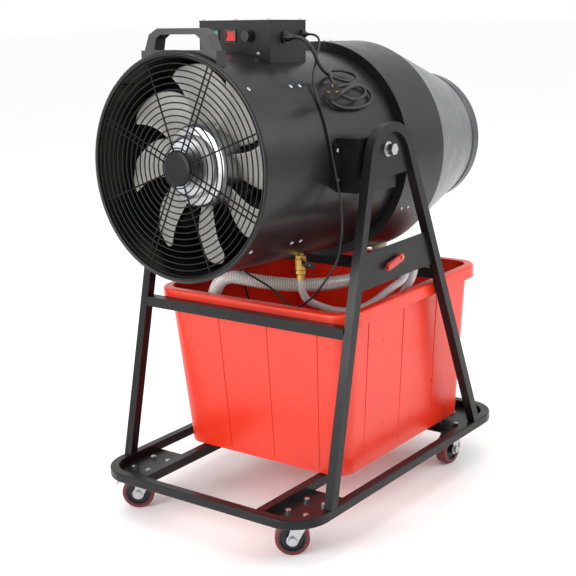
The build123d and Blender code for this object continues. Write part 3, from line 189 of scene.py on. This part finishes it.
def dusty_edges(tree, base, dust, amount):
    """A little dust and wear, where a larger and a smaller noise agree."""
    large = spread(tree, grain(tree, 90, 4).outputs["Fac"], 0, 1)
    small = spread(tree, grain(tree, 4, 6).outputs["Fac"], 0, amount)
    both = add(tree, "ShaderNodeMath", {0: large, 1: small}, operation="MULTIPLY")
    return two_tone(tree, both.outputs[0], base, dust)


print("a mid grey is", [round(v, 3) for v in shade("808080")])

# %% [markdown]
# Black powder coat covers nearly all the steel. It is baked plastic dust, so it has a fine
# orange-peel skin and an even, satin gloss. A flat black would look cut out of paper, so one
# noise makes the peel, a slow one varies the gloss, and a little dust settles on it.

# %% Powder coats


def powder_coat(name, colour, rough, peel_mm, depth_mm, shine):
    material, tree, shader = finish(name, Specular_IOR_Level=shine, Coat_Weight=0.3 * shine,
                                    Coat_Roughness=0.12)
    tree.links.new(dusty_edges(tree, shade(colour), shade("4A4845"), 0.12),
                   shader.inputs["Base Color"])
    slow = grain(tree, 60, 3)
    tree.links.new(spread(tree, slow.outputs["Fac"], rough - 0.05, rough + 0.06),
                   shader.inputs["Roughness"])
    relief(tree, shader, grain(tree, peel_mm, 2).outputs["Fac"], depth_mm, 0.35)
    return material


frame_coat = powder_coat("black frame powder coat", "101012", 0.34, 2.2, 0.08, 0.22)
shell_coat = powder_coat("satin black drum coat", "111113", 0.34, 1.6, 0.06, 0.28)
# The cone's base colour is a lighter charcoal than the drum's black: a painted reflection of the
# bright room on the satin cone.
cone_coat_painted_sheen = powder_coat("satin charcoal cone coat", "2A2B2E", 0.30, 1.6, 0.05, 0.60)
box_coat = powder_coat("textured box coat", "131315", 0.42, 1.2, 0.10, 0.25)
wire_coat = powder_coat("black wire coat", "0B0B0C", 0.40, 1.2, 0.03, 0.15)
print("powder coats made: frame, drum, cone, box and wire")

# %% [markdown]
# The tank is moulded polyethylene: thick, waxy and slightly wavy. Some light enters it, so
# its shadows stay warm. Paint would need only a colour, but this needs a little light
# scattered under the skin, and a soft wave in the surface that bends the reflections.

# %% Tank plastic
tank_plastic, tree, shader = finish("glossy red polyethylene", Subsurface_Weight=0.06,
                                    Subsurface_Scale=0.01, Coat_Weight=0.12, Coat_Roughness=0.2)
shader.inputs["Subsurface Radius"].default_value = (1.0, 0.25, 0.1)
wave = grain(tree, 120, 2)
tree.links.new(two_tone(tree, wave.outputs["Fac"], shade("D2230C"), shade("E23412")),
               shader.inputs["Base Color"])
scuff = grain(tree, 30, 3)
tree.links.new(spread(tree, scuff.outputs["Fac"], 0.27, 0.36), shader.inputs["Roughness"])
relief(tree, shader, wave.outputs["Fac"], 0.8, 0.2)
print("tank plastic made")

# %% [markdown]
# Bare metals: bright zinc on casters and screws, die-cast aluminium on the motor, and turned
# brass on the valves. All are fully metallic, so their colour is only in the reflection. One
# function makes all three, because they differ only in colour, gloss and grain.

# %% Metals


def metal(name, first, second, rough, grain_mm, depth_mm, stretch=(1, 1, 1)):
    material, tree, shader = finish(name, Metallic=1.0)
    patch = grain(tree, grain_mm * 8, 4, stretch)
    tree.links.new(two_tone(tree, patch.outputs["Fac"], shade(first), shade(second)),
                   shader.inputs["Base Color"])
    fine = grain(tree, grain_mm, 4, stretch)
    tree.links.new(spread(tree, fine.outputs["Fac"], rough - 0.07, rough + 0.08),
                   shader.inputs["Roughness"])
    relief(tree, shader, fine.outputs["Fac"], depth_mm, 0.3)
    return material


zinc = metal("bright zinc plating", "C9CACC", "A9ABB0", 0.28, 1.5, 0.03)
cast_alu = metal("die cast aluminium", "C9CACC", "B2B4B8", 0.38, 0.8, 0.05)
brass = metal("machined brass", "C9A45C", "A9823F", 0.30, 1.0, 0.03)
print("metals made")

# %% [markdown]
# Plastics and rubber. Nylon blades are a matt light grey, the wheels' polyurethane is dark
# red, and the rocker caps have a clear gloss. They share one function with a soft and a fine
# noise. The hoses are clear vinyl: light goes through them and bends, over a faint tint.

# %% Plastics and rubber


def moulded(name, colour, other, rough, grain_mm, depth_mm, **values):
    material, tree, shader = finish(name, **values)
    soft = grain(tree, grain_mm * 20, 3)
    tree.links.new(two_tone(tree, soft.outputs["Fac"], shade(colour), shade(other)),
                   shader.inputs["Base Color"])
    fine = grain(tree, grain_mm, 3)
    tree.links.new(spread(tree, fine.outputs["Fac"], rough - 0.06, rough + 0.08),
                   shader.inputs["Roughness"])
    relief(tree, shader, fine.outputs["Fac"], depth_mm, 0.4)
    return material


nylon = moulded("light grey fan nylon", "A6A59F", "98978F", 0.42, 0.8, 0.03)
# This black is also laid on the screw heads as painted shade in their recesses.
black_plastic_and_recess_shade = moulded("black moulded plastic", "141414", "1C1C1D", 0.40, 0.7, 0.06)
wheel_tread = moulded("dark red polyurethane", "5E1418", "7A2024", 0.38, 1.5, 0.08)
wheel_core = moulded("black wheel nylon", "121213", "1B1B1C", 0.45, 1.0, 0.06)
lead_rubber = moulded("black lead rubber", "0E0E0F", "191919", 0.46, 0.9, 0.05)
lever_red = moulded("red dipped vinyl", "B01A12", "C4241A", 0.28, 1.5, 0.05, Coat_Weight=0.3)
rocker_green = moulded("green rocker", "1FA04A", "2CB85A", 0.22, 1.5, 0.02, Coat_Weight=0.5)
rocker_red = moulded("red rocker", "C01810", "D42A1E", 0.22, 1.5, 0.02, Coat_Weight=0.5)
spigot_beige = moulded("beige spigot plastic", "CFC6AC", "BDB296", 0.40, 1.0, 0.06)


def clear_tube(name, colour, rough):
    material, tree, shader = finish(name, IOR=1.45, Transmission_Weight=0.45, Coat_Weight=0.3)
    cloud = grain(tree, 25, 3)
    tree.links.new(two_tone(tree, cloud.outputs["Fac"], shade(colour), shade("F4F5F2")),
                   shader.inputs["Base Color"])
    tree.links.new(spread(tree, cloud.outputs["Fac"], rough, rough + 0.12),
                   shader.inputs["Roughness"])
    return material


wide_clear = clear_tube("clear spiral hose", "D9D3CB", 0.16)
thin_clear = clear_tube("clear feed hose", "CFC9D2", 0.12)
spiral_wire = moulded("white spiral wire", "E4DFD8", "D2CCC4", 0.30, 2.0, 0.02)
print("plastics made")

# %% [markdown]
# Each CAD body gets its finish from this table, by what it is on the real machine. It could
# be set body by body, but in a table each finish is read next to all that wears it.

# %% Finishes for the CAD bodies
FINISHES = {
    frame_coat: "base_ring base_bars corner_plates a_frame_left a_frame_right arch_plates"
                " side_panels crossbars",
    shell_coat: "drum_shell mist_barrel guard_wires guard_cap pivot_brackets motor_spider",
    cone_coat_painted_sheen: "outlet_cone",
    box_coat: "control_box box_lid",
    tank_plastic: "tank",
    zinc: "caster_plates frame_bolts pivot_pins drum_screws fork_fl fork_fr fork_rl fork_rr"
          " pedal_fl pedal_rl",
    cast_alu: "fan_rotor motor_stator atomiser_motor",
    brass: "panel_valve feed_valve feed_pipe",
    nylon: "fan_blades atomiser_disc",
    black_plastic_and_recess_shade: "pump_body carry_handle panel_fittings speed_knob feed_lever mains_plug",
    wheel_core: "core_fl core_fr core_rl core_rr",
    wheel_tread: "tread_fl tread_fr tread_rl tread_rr",
    lever_red: "panel_lever",
    rocker_green: "rocker_green",
    rocker_red: "rocker_red",
    spigot_beige: "drain_spigot",
    wide_clear: "drain_hose",
    thin_clear: "feed_hose supply_hose",
    lead_rubber: "pump_cable power_cord power_cord_hank",
}
for material, names in FINISHES.items():
    for name in names.split():
        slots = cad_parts[name].data.materials
        slots.clear()
        slots.append(material)
print(sum(len(v.split()) for v in FINISHES.values()), "bodies have a finish")

# %% [markdown]
# The plug's pins are brass and its body is rubber, in one CAD body. The pins could be a piece
# of their own, but a second finish on the faces past the plug's front does the same.

# %% Brass pins on the plug
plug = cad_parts["mains_plug"]
plug.data.materials.append(brass)
PLUG_O = on_shell(33, -118, 290)
PLUG_WAY = Vector((0.60, -0.76, 0.25)).normalized()
PLUG_FRONT = 20.2 * MM
pins = [face for face in plug.data.polygons
        if (face.center - PLUG_O).dot(PLUG_WAY) > PLUG_FRONT]
for face in pins:
    face.material_index = 1
print(len(pins), "faces of the plug are brass")

# %% [markdown]
# Cords and hoses bend under their own weight, so no stretch of them is straight. They could be swept
# in CAD, but a smooth line through the same points that the CAD tubes follow looks softer. Each line
# is turned into a mesh. One that crosses the tilt keeps its place in the room and is attached to
# neither the drum nor the frame.

# %% Cord helpers
CORD_STEPS = 10


def cord_line(name, points, diameter):
    """A smooth curve with a round section."""
    data = bpy.data.curves.new(name, "CURVE")
    data.dimensions = "3D"
    spline = data.splines.new("NURBS")
    spline.points.add(len(points) - 1)
    for point, place in zip(spline.points, points):
        point.co = (*place, 1)
    spline.order_u = 3
    spline.use_endpoint_u = True
    spline.resolution_u = CORD_STEPS
    data.bevel_depth = diameter / 2
    data.bevel_resolution = 5
    data.use_fill_caps = True
    piece = bpy.data.objects.new(name, data)
    scene.collection.objects.link(piece)
    return piece


def plain_mesh(piece):
    """What an object looks like after its modifiers, as a mesh of its own."""
    bpy.context.view_layer.update()
    graph = bpy.context.evaluated_depsgraph_get()
    return bpy.data.meshes.new_from_object(piece.evaluated_get(graph), depsgraph=graph)


def middle_line(piece):
    """The points along a curve's own line, and its length."""
    depth = piece.data.bevel_depth
    piece.data.bevel_depth = 0
    mesh = plain_mesh(piece)
    piece.data.bevel_depth = depth
    path = [v.co.copy() for v in mesh.vertices]
    return path, sum((b - a).length for a, b in zip(path, path[1:]))


def smooth(piece):
    """Shade a piece's faces as one round surface."""
    for face in piece.data.polygons:
        face.use_smooth = True


def to_mesh(piece, material):
    """Swap a curve for the mesh it shows."""
    mesh = plain_mesh(piece)
    mesh.materials.clear()
    mesh.materials.append(material)
    name = piece.name
    bpy.data.objects.remove(piece)
    solid = bpy.data.objects.new(name, mesh)
    scene.collection.objects.link(solid)
    smooth(solid)
    return solid


print("cords are drawn with", CORD_STEPS, "steps to a point")

# %% [markdown]
# Four lines hang between the drum, the tank and the side panel: the wide drain hose, the two thin
# hoses of the pump, and the pump's cable. Their points are chosen, as the hoses lie, from the fittings
# that they leave. Each is drawn as a smooth tube, and its length is printed.

# %% Routes of the hoses
SPIGOT_N = -sqrt(BARREL_R ** 2 - 85 ** 2)
SPIGOT_DIP = radians(41)
KNEE = drum(85, 300, SPIGOT_N - 18)
BARB_WAY = -AXIS * cos(SPIGOT_DIP) - UP * sin(SPIGOT_DIP)
SPIGOT_END = KNEE + BARB_WAY * 40 * MM
FEED_X = 92
FEED_N = -sqrt(DRUM_R ** 2 - FEED_X ** 2)
FEED_END = drum(FEED_X, -34, FEED_N - 62)
MANIFOLD_X = 284.0
PUMP_OUT = at(-34, -60, 174)
CABLE_END = at(-82, -60, 160)
ROUTES = {
    "drain_hose": ([SPIGOT_END, SPIGOT_END + BARB_WAY * 48 * MM, at(76, 90, 418), at(52, 20, 422),
                    at(8, -55, 433), at(-52, -118, 452), at(-108, -152, 468),
                    at(-139, -166, 432), at(-141, -168, 372), at(-138, -160, 300)],
                   32 * MM, wide_clear, "stiff", "open"),
    "feed_hose": ([FEED_END, FEED_END - UP * 42 * MM, at(112, -74, 398), at(160, -46, 382),
                   at(214, -14, 396), at(258, 20, 440), at(MANIFOLD_X, 48, 462),
                   at(MANIFOLD_X, 48, 498)], 18 * MM, thin_clear, "medium", "object"),
    "supply_hose": ([at(MANIFOLD_X, 85, 498), at(MANIFOLD_X, 85, 460), at(240, 80, 400),
                     at(196, 60, 318), at(130, 20, 256), at(50, -24, 240),
                     PUMP_OUT + Vector((0, 0, 62 * MM)), PUMP_OUT],
                    18 * MM, thin_clear, "medium", "object"),
    "pump_cable": ([drum(121, -39, 282), drum(154, -39, 282), on_shell(56, -60, 290),
                    on_shell(48, -92, 254), on_shell(38, -114, 248), on_shell(22, -124, 249),
                    on_shell(4, -125, 250), at(262, -174, 670), at(254, -168, 596),
                    at(240, -170, 540), at(206, -172, 494), at(150, -152, 440),
                    at(90, -132, 405), at(40, -104, 400), at(0, -112, 440), at(-48, -160, 486),
                    at(-92, -124, 492), at(-104, -92, 430), at(-92, -76, 350),
                    CABLE_END + Vector((0, 0, 100 * MM)), CABLE_END],
                   5.2 * MM, lead_rubber, "limp", "object"),
}
CROSSING = {"drain_hose": (SPIGOT_END, at(8, -55, 433)),
            "feed_hose": (FEED_END, at(214, -14, 396)),
            "pump_cable": (drum(250, -124, 40), at(206, -172, 494))}
paths = {}
for name, (points, thick, material, stiffness, end) in ROUTES.items():
    line = cord_line("run_" + name, points, thick)
    paths[name], length = middle_line(line)
    piece = to_mesh(line, material)
    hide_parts(name)
    if name in CROSSING:
        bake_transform(piece)
    else:
        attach(piece, "frame")
    print(name, "is", round(length, 3), "m long")

# %% [markdown]
# The mains lead is folded into a loose hank on the drum's shoulder: it leaves the gland, runs
# back and forth three times and ends in its plug, which lies on top. Each point is an angle
# round the drum, a station and a radius, so the folds follow the drum's curve and cross over
# each other. A ring of equal turns would look wound by a machine.

# %% Mains lead and plug
hank = [(54.5, -98, 306), (52, -80, 284), (49, -52, 264), (46, -10, 254), (43.5, 40, 251),
        (41, 76, 251), (36, 92, 251), (31, 80, 251), (28.5, 40, 251), (28, -10, 251),
        (29, -58, 251), (33, -84, 252), (38, -76, 257), (40, -40, 261), (40, 10, 262),
        (42, 50, 261), (47, 72, 257), (52, 52, 253), (52.5, 10, 254), (51, -20, 259),
        (46, -46, 266), (39, -60, 267), (33, -44, 264), (31.5, 0, 261), (33, 40, 261),
        (36, 56, 262), (39, 40, 267), (38, -4, 271), (35, -50, 271), (33, -84, 274),
        (33, -102, 282)]
lead_points = [drum(131, -105, 276), drum(156, -105, 276)]
lead_points += [on_shell(a, s, r) for a, s, r in hank]
lead_points += [PLUG_O - PLUG_WAY * 12 * MM, PLUG_O - PLUG_WAY * 6 * MM]
lead = cord_line("mains_lead", lead_points, 8.5 * MM)
lead.data.materials.append(lead_rubber)
_, lead_length = middle_line(lead)
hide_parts("power_cord", "power_cord_hank")
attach(lead, "drum")
print("mains lead is", round(lead_length, 2), "m long")

# %% [markdown]
# Geometry Nodes repeat things by rule. The same could be done with array modifiers, but a
# tree has named inputs that can be changed later. These helpers open a tree, close it with
# real geometry and its finish, and run it, keeping the result as a plain mesh.

# %% Helpers for trees


def new_tree(name, numbers):
    tree = bpy.data.node_groups.new(name, "GeometryNodeTree")
    tree.interface.new_socket("Geometry", in_out="INPUT", socket_type="NodeSocketGeometry")
    for label, value in numbers.items():
        kind = "NodeSocketInt" if isinstance(value, int) else "NodeSocketFloat"
        socket = tree.interface.new_socket(label, in_out="INPUT", socket_type=kind)
        socket.default_value = value
    tree.interface.new_socket("Geometry", in_out="OUTPUT", socket_type="NodeSocketGeometry")
    return tree, add(tree, "NodeGroupInput"), add(tree, "NodeGroupOutput")


def close_tree(tree, geometry, material, out):
    """End a tree as every one here ends: real geometry, with its finish."""
    real = add(tree, "GeometryNodeRealizeInstances", {"Geometry": geometry})
    done = add(tree, "GeometryNodeSetMaterial", {"Geometry": real.outputs[0], "Material": material})
    tree.links.new(done.outputs[0], out.inputs[0])


def run_tree(name, tree, numbers, mesh=None):
    """Run a tree on a mesh and keep what it makes."""
    holder = bpy.data.objects.new(name, mesh or bpy.data.meshes.new(name))
    scene.collection.objects.link(holder)
    modifier = holder.modifiers.new(name, "NODES")
    modifier.node_group = tree
    for item in tree.interface.items_tree:
        if item.in_out == "INPUT" and item.name in numbers:
            modifier[item.identifier] = numbers[item.name]
    made = plain_mesh(holder)
    holder.modifiers.clear()
    holder.data = made
    print(name, "has", len(made.polygons), "faces")
    return holder


print("tree helpers ready")

# %% [markdown]
# The inlet guard is concentric welded wire on spokes. Fifteen tori could be added by hand.
# The tree makes one circle for each ring instead, steps their radius, and gives them all the
# same wire section, so the pitch and the wire can be changed in one place.

# %% Rings of the inlet guard
GUARD_S = -351
FIRST_RING_R = 44
GUARD_R = 238.4
RINGS = 15
WIRE_R = 1.6
tree, given, out = new_tree("guard rings", {"First Radius": FIRST_RING_R * MM, "Pitch": 0.014,
                                            "Rings": RINGS, "Wire Radius": WIRE_R * MM})
row = add(tree, "GeometryNodeMeshLine", {"Count": given.outputs["Rings"], "Offset": (0, 0, 0)})
order = add(tree, "GeometryNodeInputIndex")
step = add(tree, "ShaderNodeMath", {0: order.outputs[0], 1: given.outputs["Pitch"]},
           operation="MULTIPLY")
reach = add(tree, "ShaderNodeMath", {0: step.outputs[0], 1: given.outputs["First Radius"]},
            operation="ADD")
circle = add(tree, "GeometryNodeCurvePrimitiveCircle", {"Resolution": 112, "Radius": 1.0})
rings = add(tree, "GeometryNodeInstanceOnPoints",
            {"Points": row.outputs[0], "Instance": circle.outputs[0], "Scale": reach.outputs[0]})
real = add(tree, "GeometryNodeRealizeInstances", {"Geometry": rings.outputs[0]})
wire = add(tree, "GeometryNodeCurvePrimitiveCircle", {"Resolution": 8,
                                                      "Radius": given.outputs["Wire Radius"]})
body = add(tree, "GeometryNodeCurveToMesh", {"Curve": real.outputs[0],
                                             "Profile Curve": wire.outputs[0]})
close_tree(tree, body.outputs[0], wire_coat, out)
guard = run_tree("guard_ring_wires", tree,
                 {"First Radius": FIRST_RING_R * MM,
                  "Pitch": (GUARD_R - FIRST_RING_R) / (RINGS - 1) * MM,
                  "Rings": RINGS, "Wire Radius": WIRE_R * MM})
DRUM_TURN = Matrix((RIGHT, UP, -AXIS)).transposed().to_4x4()


def to_drum(mesh, s):
    """Put a mesh made round its own Z axis onto the drum's axis at a station."""
    mesh.transform(Matrix.Translation(drum(0, s, 0)) @ DRUM_TURN)


to_drum(guard.data, GUARD_S)
smooth(guard)

# %% [markdown]
# Behind the rings lie the spokes, four pairs and four single ones, and four clip strips hold
# the guard to the drum. The round cap in the middle is a low dish, turned from its outline.
# These few pieces are each a little different, so they are built one by one in one mesh.

# %% Guard spokes, clips and cap
SPOKE_S = GUARD_S + 2.6
SPOKE_R = 2.0
CAP_SIDES = 48
work = bmesh.new()


def rod(start, end, r, sides=10):
    """Add a round rod to the working mesh."""
    way = end - start
    turn = way.to_track_quat("Z", "Y").to_matrix().to_4x4()
    place = Matrix.Translation((start + end) / 2) @ turn
    bmesh.ops.create_cone(work, cap_ends=True, segments=sides, radius1=r, radius2=r,
                          depth=way.length, matrix=place)


for k in range(4):
    for angle, offsets in ((66 + 90 * k, (-7, 7)), (21 + 90 * k, (0,))):
        sideways = outward(angle + 90)
        for offset in offsets:
            root = drum(0, SPOKE_S, 0) + sideways * offset * MM
            rod(root + outward(angle) * 30 * MM, root + outward(angle) * (GUARD_R + 0.2) * MM,
                SPOKE_R * MM)
for angle in (45, 135, 225, 315):
    strip = Matrix.Translation(on_shell(angle, -331, 239.4))
    strip = strip @ Matrix((AXIS, outward(angle + 90), outward(angle))).transposed().to_4x4()
    strip = strip @ Matrix.Diagonal((44 * MM, 18 * MM, 2 * MM, 1))
    bmesh.ops.create_cube(work, size=1, matrix=strip)
cap_profile = [(0, -358), (30, -357.4), (37, -355.6), (40, -352), (40, -350.4), (0, -350.4)]
rows = []
for r, s in cap_profile:
    count = 1 if r == 0 else CAP_SIDES
    rows.append([work.verts.new(on_shell(360 / count * k, s, r)) for k in range(count)])
for lower, upper in zip(rows, rows[1:]):
    for k in range(CAP_SIDES):
        corners = [lower[k % len(lower)], lower[(k + 1) % len(lower)],
                   upper[(k + 1) % len(upper)], upper[k % len(upper)]]
        corners = list(dict.fromkeys(corners))
        work.faces.new(corners)
bmesh.ops.recalc_face_normals(work, faces=work.faces)
spokes = bpy.data.objects.new("guard_spokes_and_cap", bpy.data.meshes.new("guard_spokes_and_cap"))
scene.collection.objects.link(spokes)
work.to_mesh(spokes.data)
work.free()
spokes.data.materials.append(wire_coat)
for piece, node_name in ((guard, "guard_wires"), (spokes, "guard_cap")):
    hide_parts(node_name)
    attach(piece, "drum")
print("spokes and cap have", len(spokes.data.polygons), "faces")

# %% [markdown]
# The fan has eight moulded sickle blades. A flat cut-out would catch the light like a card,
# so one blade is a small grid over its span and its chord: the pitch flattens towards the
# tip, the tip hooks forward and is rounded, and the chord is cambered. Its front edge is the
# one that leads. A tree then sets it round the hub.

# %% Fan blades
BLADES = 8
BLADE_START = radians(1)
BLADE_S = -258
ROOT_R, TIP_R = 90, 223
ROWS, COLS = 12, 8
work = bmesh.new()
grid = []
for i in range(ROWS + 1):
    t = i / ROWS
    r = ROOT_R + (TIP_R - ROOT_R) * t
    pitch = radians(30 - 10 * t)
    lead_edge = -34 - 26 * sin(pi * min(t * 1.05, 1)) + 10 * t ** 6
    trail_edge = 32 + 12 * t + 54 * t ** 3 - 16 * t ** 9
    line = []
    for j in range(COLS + 1):
        u = j / COLS
        chord = lead_edge + (trail_edge - lead_edge) * u
        drop = 20 * t ** 6 * (2 * u - 1) ** 4
        camber = 6 * sin(pi * u)
        reach = r - drop
        along = chord * sin(pitch) - camber * cos(pitch)
        turn = chord / r * cos(pitch) + camber * sin(pitch) / r
        line.append(work.verts.new((reach * cos(turn) * MM, reach * sin(turn) * MM,
                                    along * MM)))
    grid.append(line)
for a, b in zip(grid, grid[1:]):
    for j in range(COLS):
        work.faces.new((a[j], a[j + 1], b[j + 1], b[j]))
blade = bpy.data.objects.new("blade", bpy.data.meshes.new("blade"))
scene.collection.objects.link(blade)
work.to_mesh(blade.data)
work.free()
thick = blade.modifiers.new("wall", "SOLIDIFY")
thick.thickness = 2.6 * MM
thick.offset = 0
rounder = blade.modifiers.new("round", "SUBSURF")
rounder.levels = rounder.render_levels = 1
blade_mesh = plain_mesh(blade)
blade.modifiers.clear()
blade.data = blade_mesh
tree, given, out = new_tree("blades round a hub", {"Blades": BLADES,
                                                   "Start Angle": BLADE_START})
spots = add(tree, "GeometryNodeMeshLine", {"Count": given.outputs["Blades"], "Offset": (0, 0, 0)})
order = add(tree, "GeometryNodeInputIndex")
share = add(tree, "ShaderNodeMath", {0: 2 * pi, 1: given.outputs["Blades"]}, operation="DIVIDE")
turned = add(tree, "ShaderNodeMath", {0: order.outputs[0], 1: share.outputs[0],
                                      2: given.outputs["Start Angle"]}, operation="MULTIPLY_ADD")
spin = add(tree, "ShaderNodeCombineXYZ", {"Z": turned.outputs[0]})
shape = add(tree, "GeometryNodeObjectInfo", {"Object": blade})
fan = add(tree, "GeometryNodeInstanceOnPoints",
          {"Points": spots.outputs[0], "Instance": shape.outputs["Geometry"],
           "Rotation": spin.outputs[0]})
close_tree(tree, fan.outputs[0], nylon, out)
blades = run_tree("fan_blade_set", tree, {"Blades": BLADES, "Start Angle": BLADE_START})
bpy.data.objects.remove(blade)
to_drum(blades.data, BLADE_S)
smooth(blades)
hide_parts("fan_blades")
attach(blades, "fan")

# %% [markdown]
# Cross-head screws sit all over the drum. Copies placed by hand would drift off the curve, so a mesh
# holds only their places and directions. The tree stands a domed head on every vertex. The same tree,
# with a thin black cross instead of a dome, lays painted shade on top of each head where the recess
# would be dark.

# %% Screws on the drum
HEAD_R = 5 * MM
HEAD_H = 2.8 * MM
spots = [(on_shell(a, s, DRUM_R), outward(a)) for a in (45, 135, 225, 315)
         for s in (-315, -172, -140)]
spots += [(on_shell(a, s, BARREL_R), outward(a)) for a in (90, 210, 330) for s in (186, 214)]
spots += [(drum(w * 249, s, n), RIGHT * w) for w in (-1, 1) for s in (-104, 74)
          for n in (-34, 32)]
spots += [(drum(x, s, 314), UP) for x in (-95, 0, 95) for s in (-148, -34)]
spots += [(drum(69, -156, 240), -AXIS)]
places = bpy.data.meshes.new("screw places")
places.from_pydata([p for p, _ in spots], [], [])
ways = places.attributes.new("out", "FLOAT_VECTOR", "POINT")
ways.data.foreach_set("vector", [c for _, w in spots for c in w])


def heads_tree(name, material, paint_shade_cross):
    tree, given, out = new_tree(name, {"Head Radius": HEAD_R, "Head Height": HEAD_H})
    facing = add(tree, "GeometryNodeInputNamedAttribute", {"Name": "out"},
                 data_type="FLOAT_VECTOR")
    turn = add(tree, "FunctionNodeAlignRotationToVector", {"Vector": facing.outputs[0]},
               axis="Z")
    # With this set, the head is a thin black cross instead of a dome: painted shade of the screw's
    # recess.
    if paint_shade_cross:
        size = add(tree, "ShaderNodeCombineXYZ",
                   {"X": given.outputs["Head Radius"], "Y": 0.0008, "Z": 0.0006})
        bar = add(tree, "GeometryNodeMeshCube", {"Size": size.outputs[0]})
        other = add(tree, "GeometryNodeTransform", {"Geometry": bar.outputs[0],
                                                    "Rotation": (0, 0, pi / 2)})
        shape = add(tree, "GeometryNodeJoinGeometry")
        tree.links.new(bar.outputs[0], shape.inputs[0])
        tree.links.new(other.outputs[0], shape.inputs[0])
        lift = add(tree, "ShaderNodeCombineXYZ", {"Z": given.outputs["Head Height"]})
        shape = add(tree, "GeometryNodeTransform", {"Geometry": shape.outputs[0],
                                                    "Translation": lift.outputs[0]})
    else:
        shape = add(tree, "GeometryNodeMeshUVSphere", {"Segments": 20, "Rings": 10,
                                                       "Radius": given.outputs["Head Radius"]})
        flat = add(tree, "ShaderNodeMath", {0: given.outputs["Head Height"],
                                            1: given.outputs["Head Radius"]}, operation="DIVIDE")
        squat = add(tree, "ShaderNodeCombineXYZ", {"X": 1.0, "Y": 1.0, "Z": flat.outputs[0]})
        shape = add(tree, "GeometryNodeTransform", {"Geometry": shape.outputs[0],
                                                    "Scale": squat.outputs[0]})
    heads = add(tree, "GeometryNodeInstanceOnPoints",
                {"Points": given.outputs["Geometry"], "Instance": shape.outputs[0],
                 "Rotation": turn.outputs[0]})
    close_tree(tree, heads.outputs[0], material, out)
    return tree


heads = run_tree("screw_heads", heads_tree("screw heads", zinc, False),
                 {"Head Radius": HEAD_R, "Head Height": HEAD_H}, places.copy())
smooth(heads)
# Black crosses laid on the heads: painted shade of the cross recesses.
recess_shade_crosses = run_tree("screw_recesses", heads_tree("screw recesses", black_plastic_and_recess_shade, True),
                    {"Head Radius": HEAD_R, "Head Height": HEAD_H - 0.2 * MM}, places)
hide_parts("drum_screws")
for piece in (heads, recess_shade_crosses):
    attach(piece, "drum")

# %% [markdown]
# The wide drain hose is stiffened by a wire spiral, which shows as close white ribs. A true
# helix is heavy and hard to bend, and at this pitch nobody can tell it from rings. The tree
# sets rings close together along the hose's own line, each square to it.

# %% Spiral of the drain hose
line_mesh = bpy.data.meshes.new("drain line")
route = paths["drain_hose"]
line_mesh.from_pydata(route, [(i, i + 1) for i in range(len(route) - 1)], [])
SPIRAL = {"Pitch": 6 * MM, "Hose Radius": 16 * MM, "Wire Radius": 0.9 * MM}
tree, given, out = new_tree("hose spiral", SPIRAL)
curve = add(tree, "GeometryNodeMeshToCurve", {"Mesh": given.outputs["Geometry"]})
evenly = add(tree, "GeometryNodeResampleCurve", {"Curve": curve.outputs[0]}, mode="LENGTH")
tree.links.new(given.outputs["Pitch"], evenly.inputs["Length"])
tangent = add(tree, "GeometryNodeInputTangent")
turn = add(tree, "FunctionNodeAlignRotationToVector", {"Vector": tangent.outputs[0]}, axis="Z")
loop = add(tree, "GeometryNodeCurvePrimitiveCircle", {"Resolution": 28,
                                                      "Radius": given.outputs["Hose Radius"]})
wire = add(tree, "GeometryNodeCurvePrimitiveCircle", {"Resolution": 6,
                                                      "Radius": given.outputs["Wire Radius"]})
coil = add(tree, "GeometryNodeCurveToMesh", {"Curve": loop.outputs[0],
                                             "Profile Curve": wire.outputs[0]})
coils = add(tree, "GeometryNodeInstanceOnPoints",
            {"Points": evenly.outputs[0], "Instance": coil.outputs[0],
             "Rotation": turn.outputs[0]})
close_tree(tree, coils.outputs[0], spiral_wire, out)
spiral = run_tree("drain_hose_spiral", tree, SPIRAL, line_mesh)
smooth(spiral)
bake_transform(spiral)

# %% [markdown]
# The room is a pale floor under an even white sky. Sky light alone leaves black steel flat,
# so a large lamp behind to the right draws the highlight down the cone and the drum, one in
# front shines into the inlet, and a weak one hangs overhead.

# %% Floor and light
floor_paint, tree, shader = finish("pale floor", Roughness=0.6)
speck = grain(tree, 200, 3)
tree.links.new(two_tone(tree, speck.outputs["Fac"], shade("FDFDFD"), shade("FAFAFA")),
               shader.inputs["Base Color"])
floor = bpy.data.objects.new("floor", bpy.data.meshes.new("floor"))
floor.data.from_pydata([(-20, -20, 0), (20, -20, 0), (20, 20, 0), (-20, 20, 0)], [],
                       [(0, 1, 2, 3)])
floor.data.materials.append(floor_paint)
scene.collection.objects.link(floor)
world = bpy.data.worlds.new("studio")
world.use_nodes = True
world.node_tree.nodes["Background"].inputs["Color"].default_value = (1.0, 1.0, 1.0, 1)
world.node_tree.nodes["Background"].inputs["Strength"].default_value = 1.0
scene.world = world


def lamp(name, place, aim, size, power):
    light = bpy.data.lights.new(name, "AREA")
    light.shape = "RECTANGLE"
    light.size, light.size_y = size
    light.energy = power
    holder = bpy.data.objects.new(name, light)
    way = Vector(aim) - Vector(place)
    holder.matrix_world = Matrix.Translation(place) @ way.to_track_quat("-Z", "Y").to_matrix().to_4x4()
    scene.collection.objects.link(holder)


lamp("right rear softbox", (3.0, 1.6, 2.6), (0, 0, 0.7), (2.4, 2.0), 60)
lamp("front left fill", (-0.9, -3.0, 1.5), (0, -0.3, 0.8), (1.6, 1.6), 60)
lamp("ceiling", (0.2, -0.2, 3.4), (0, 0, 0.5), (3.0, 3.0), 30)
scene.view_settings.view_transform = "Standard"
print("light and floor placed")
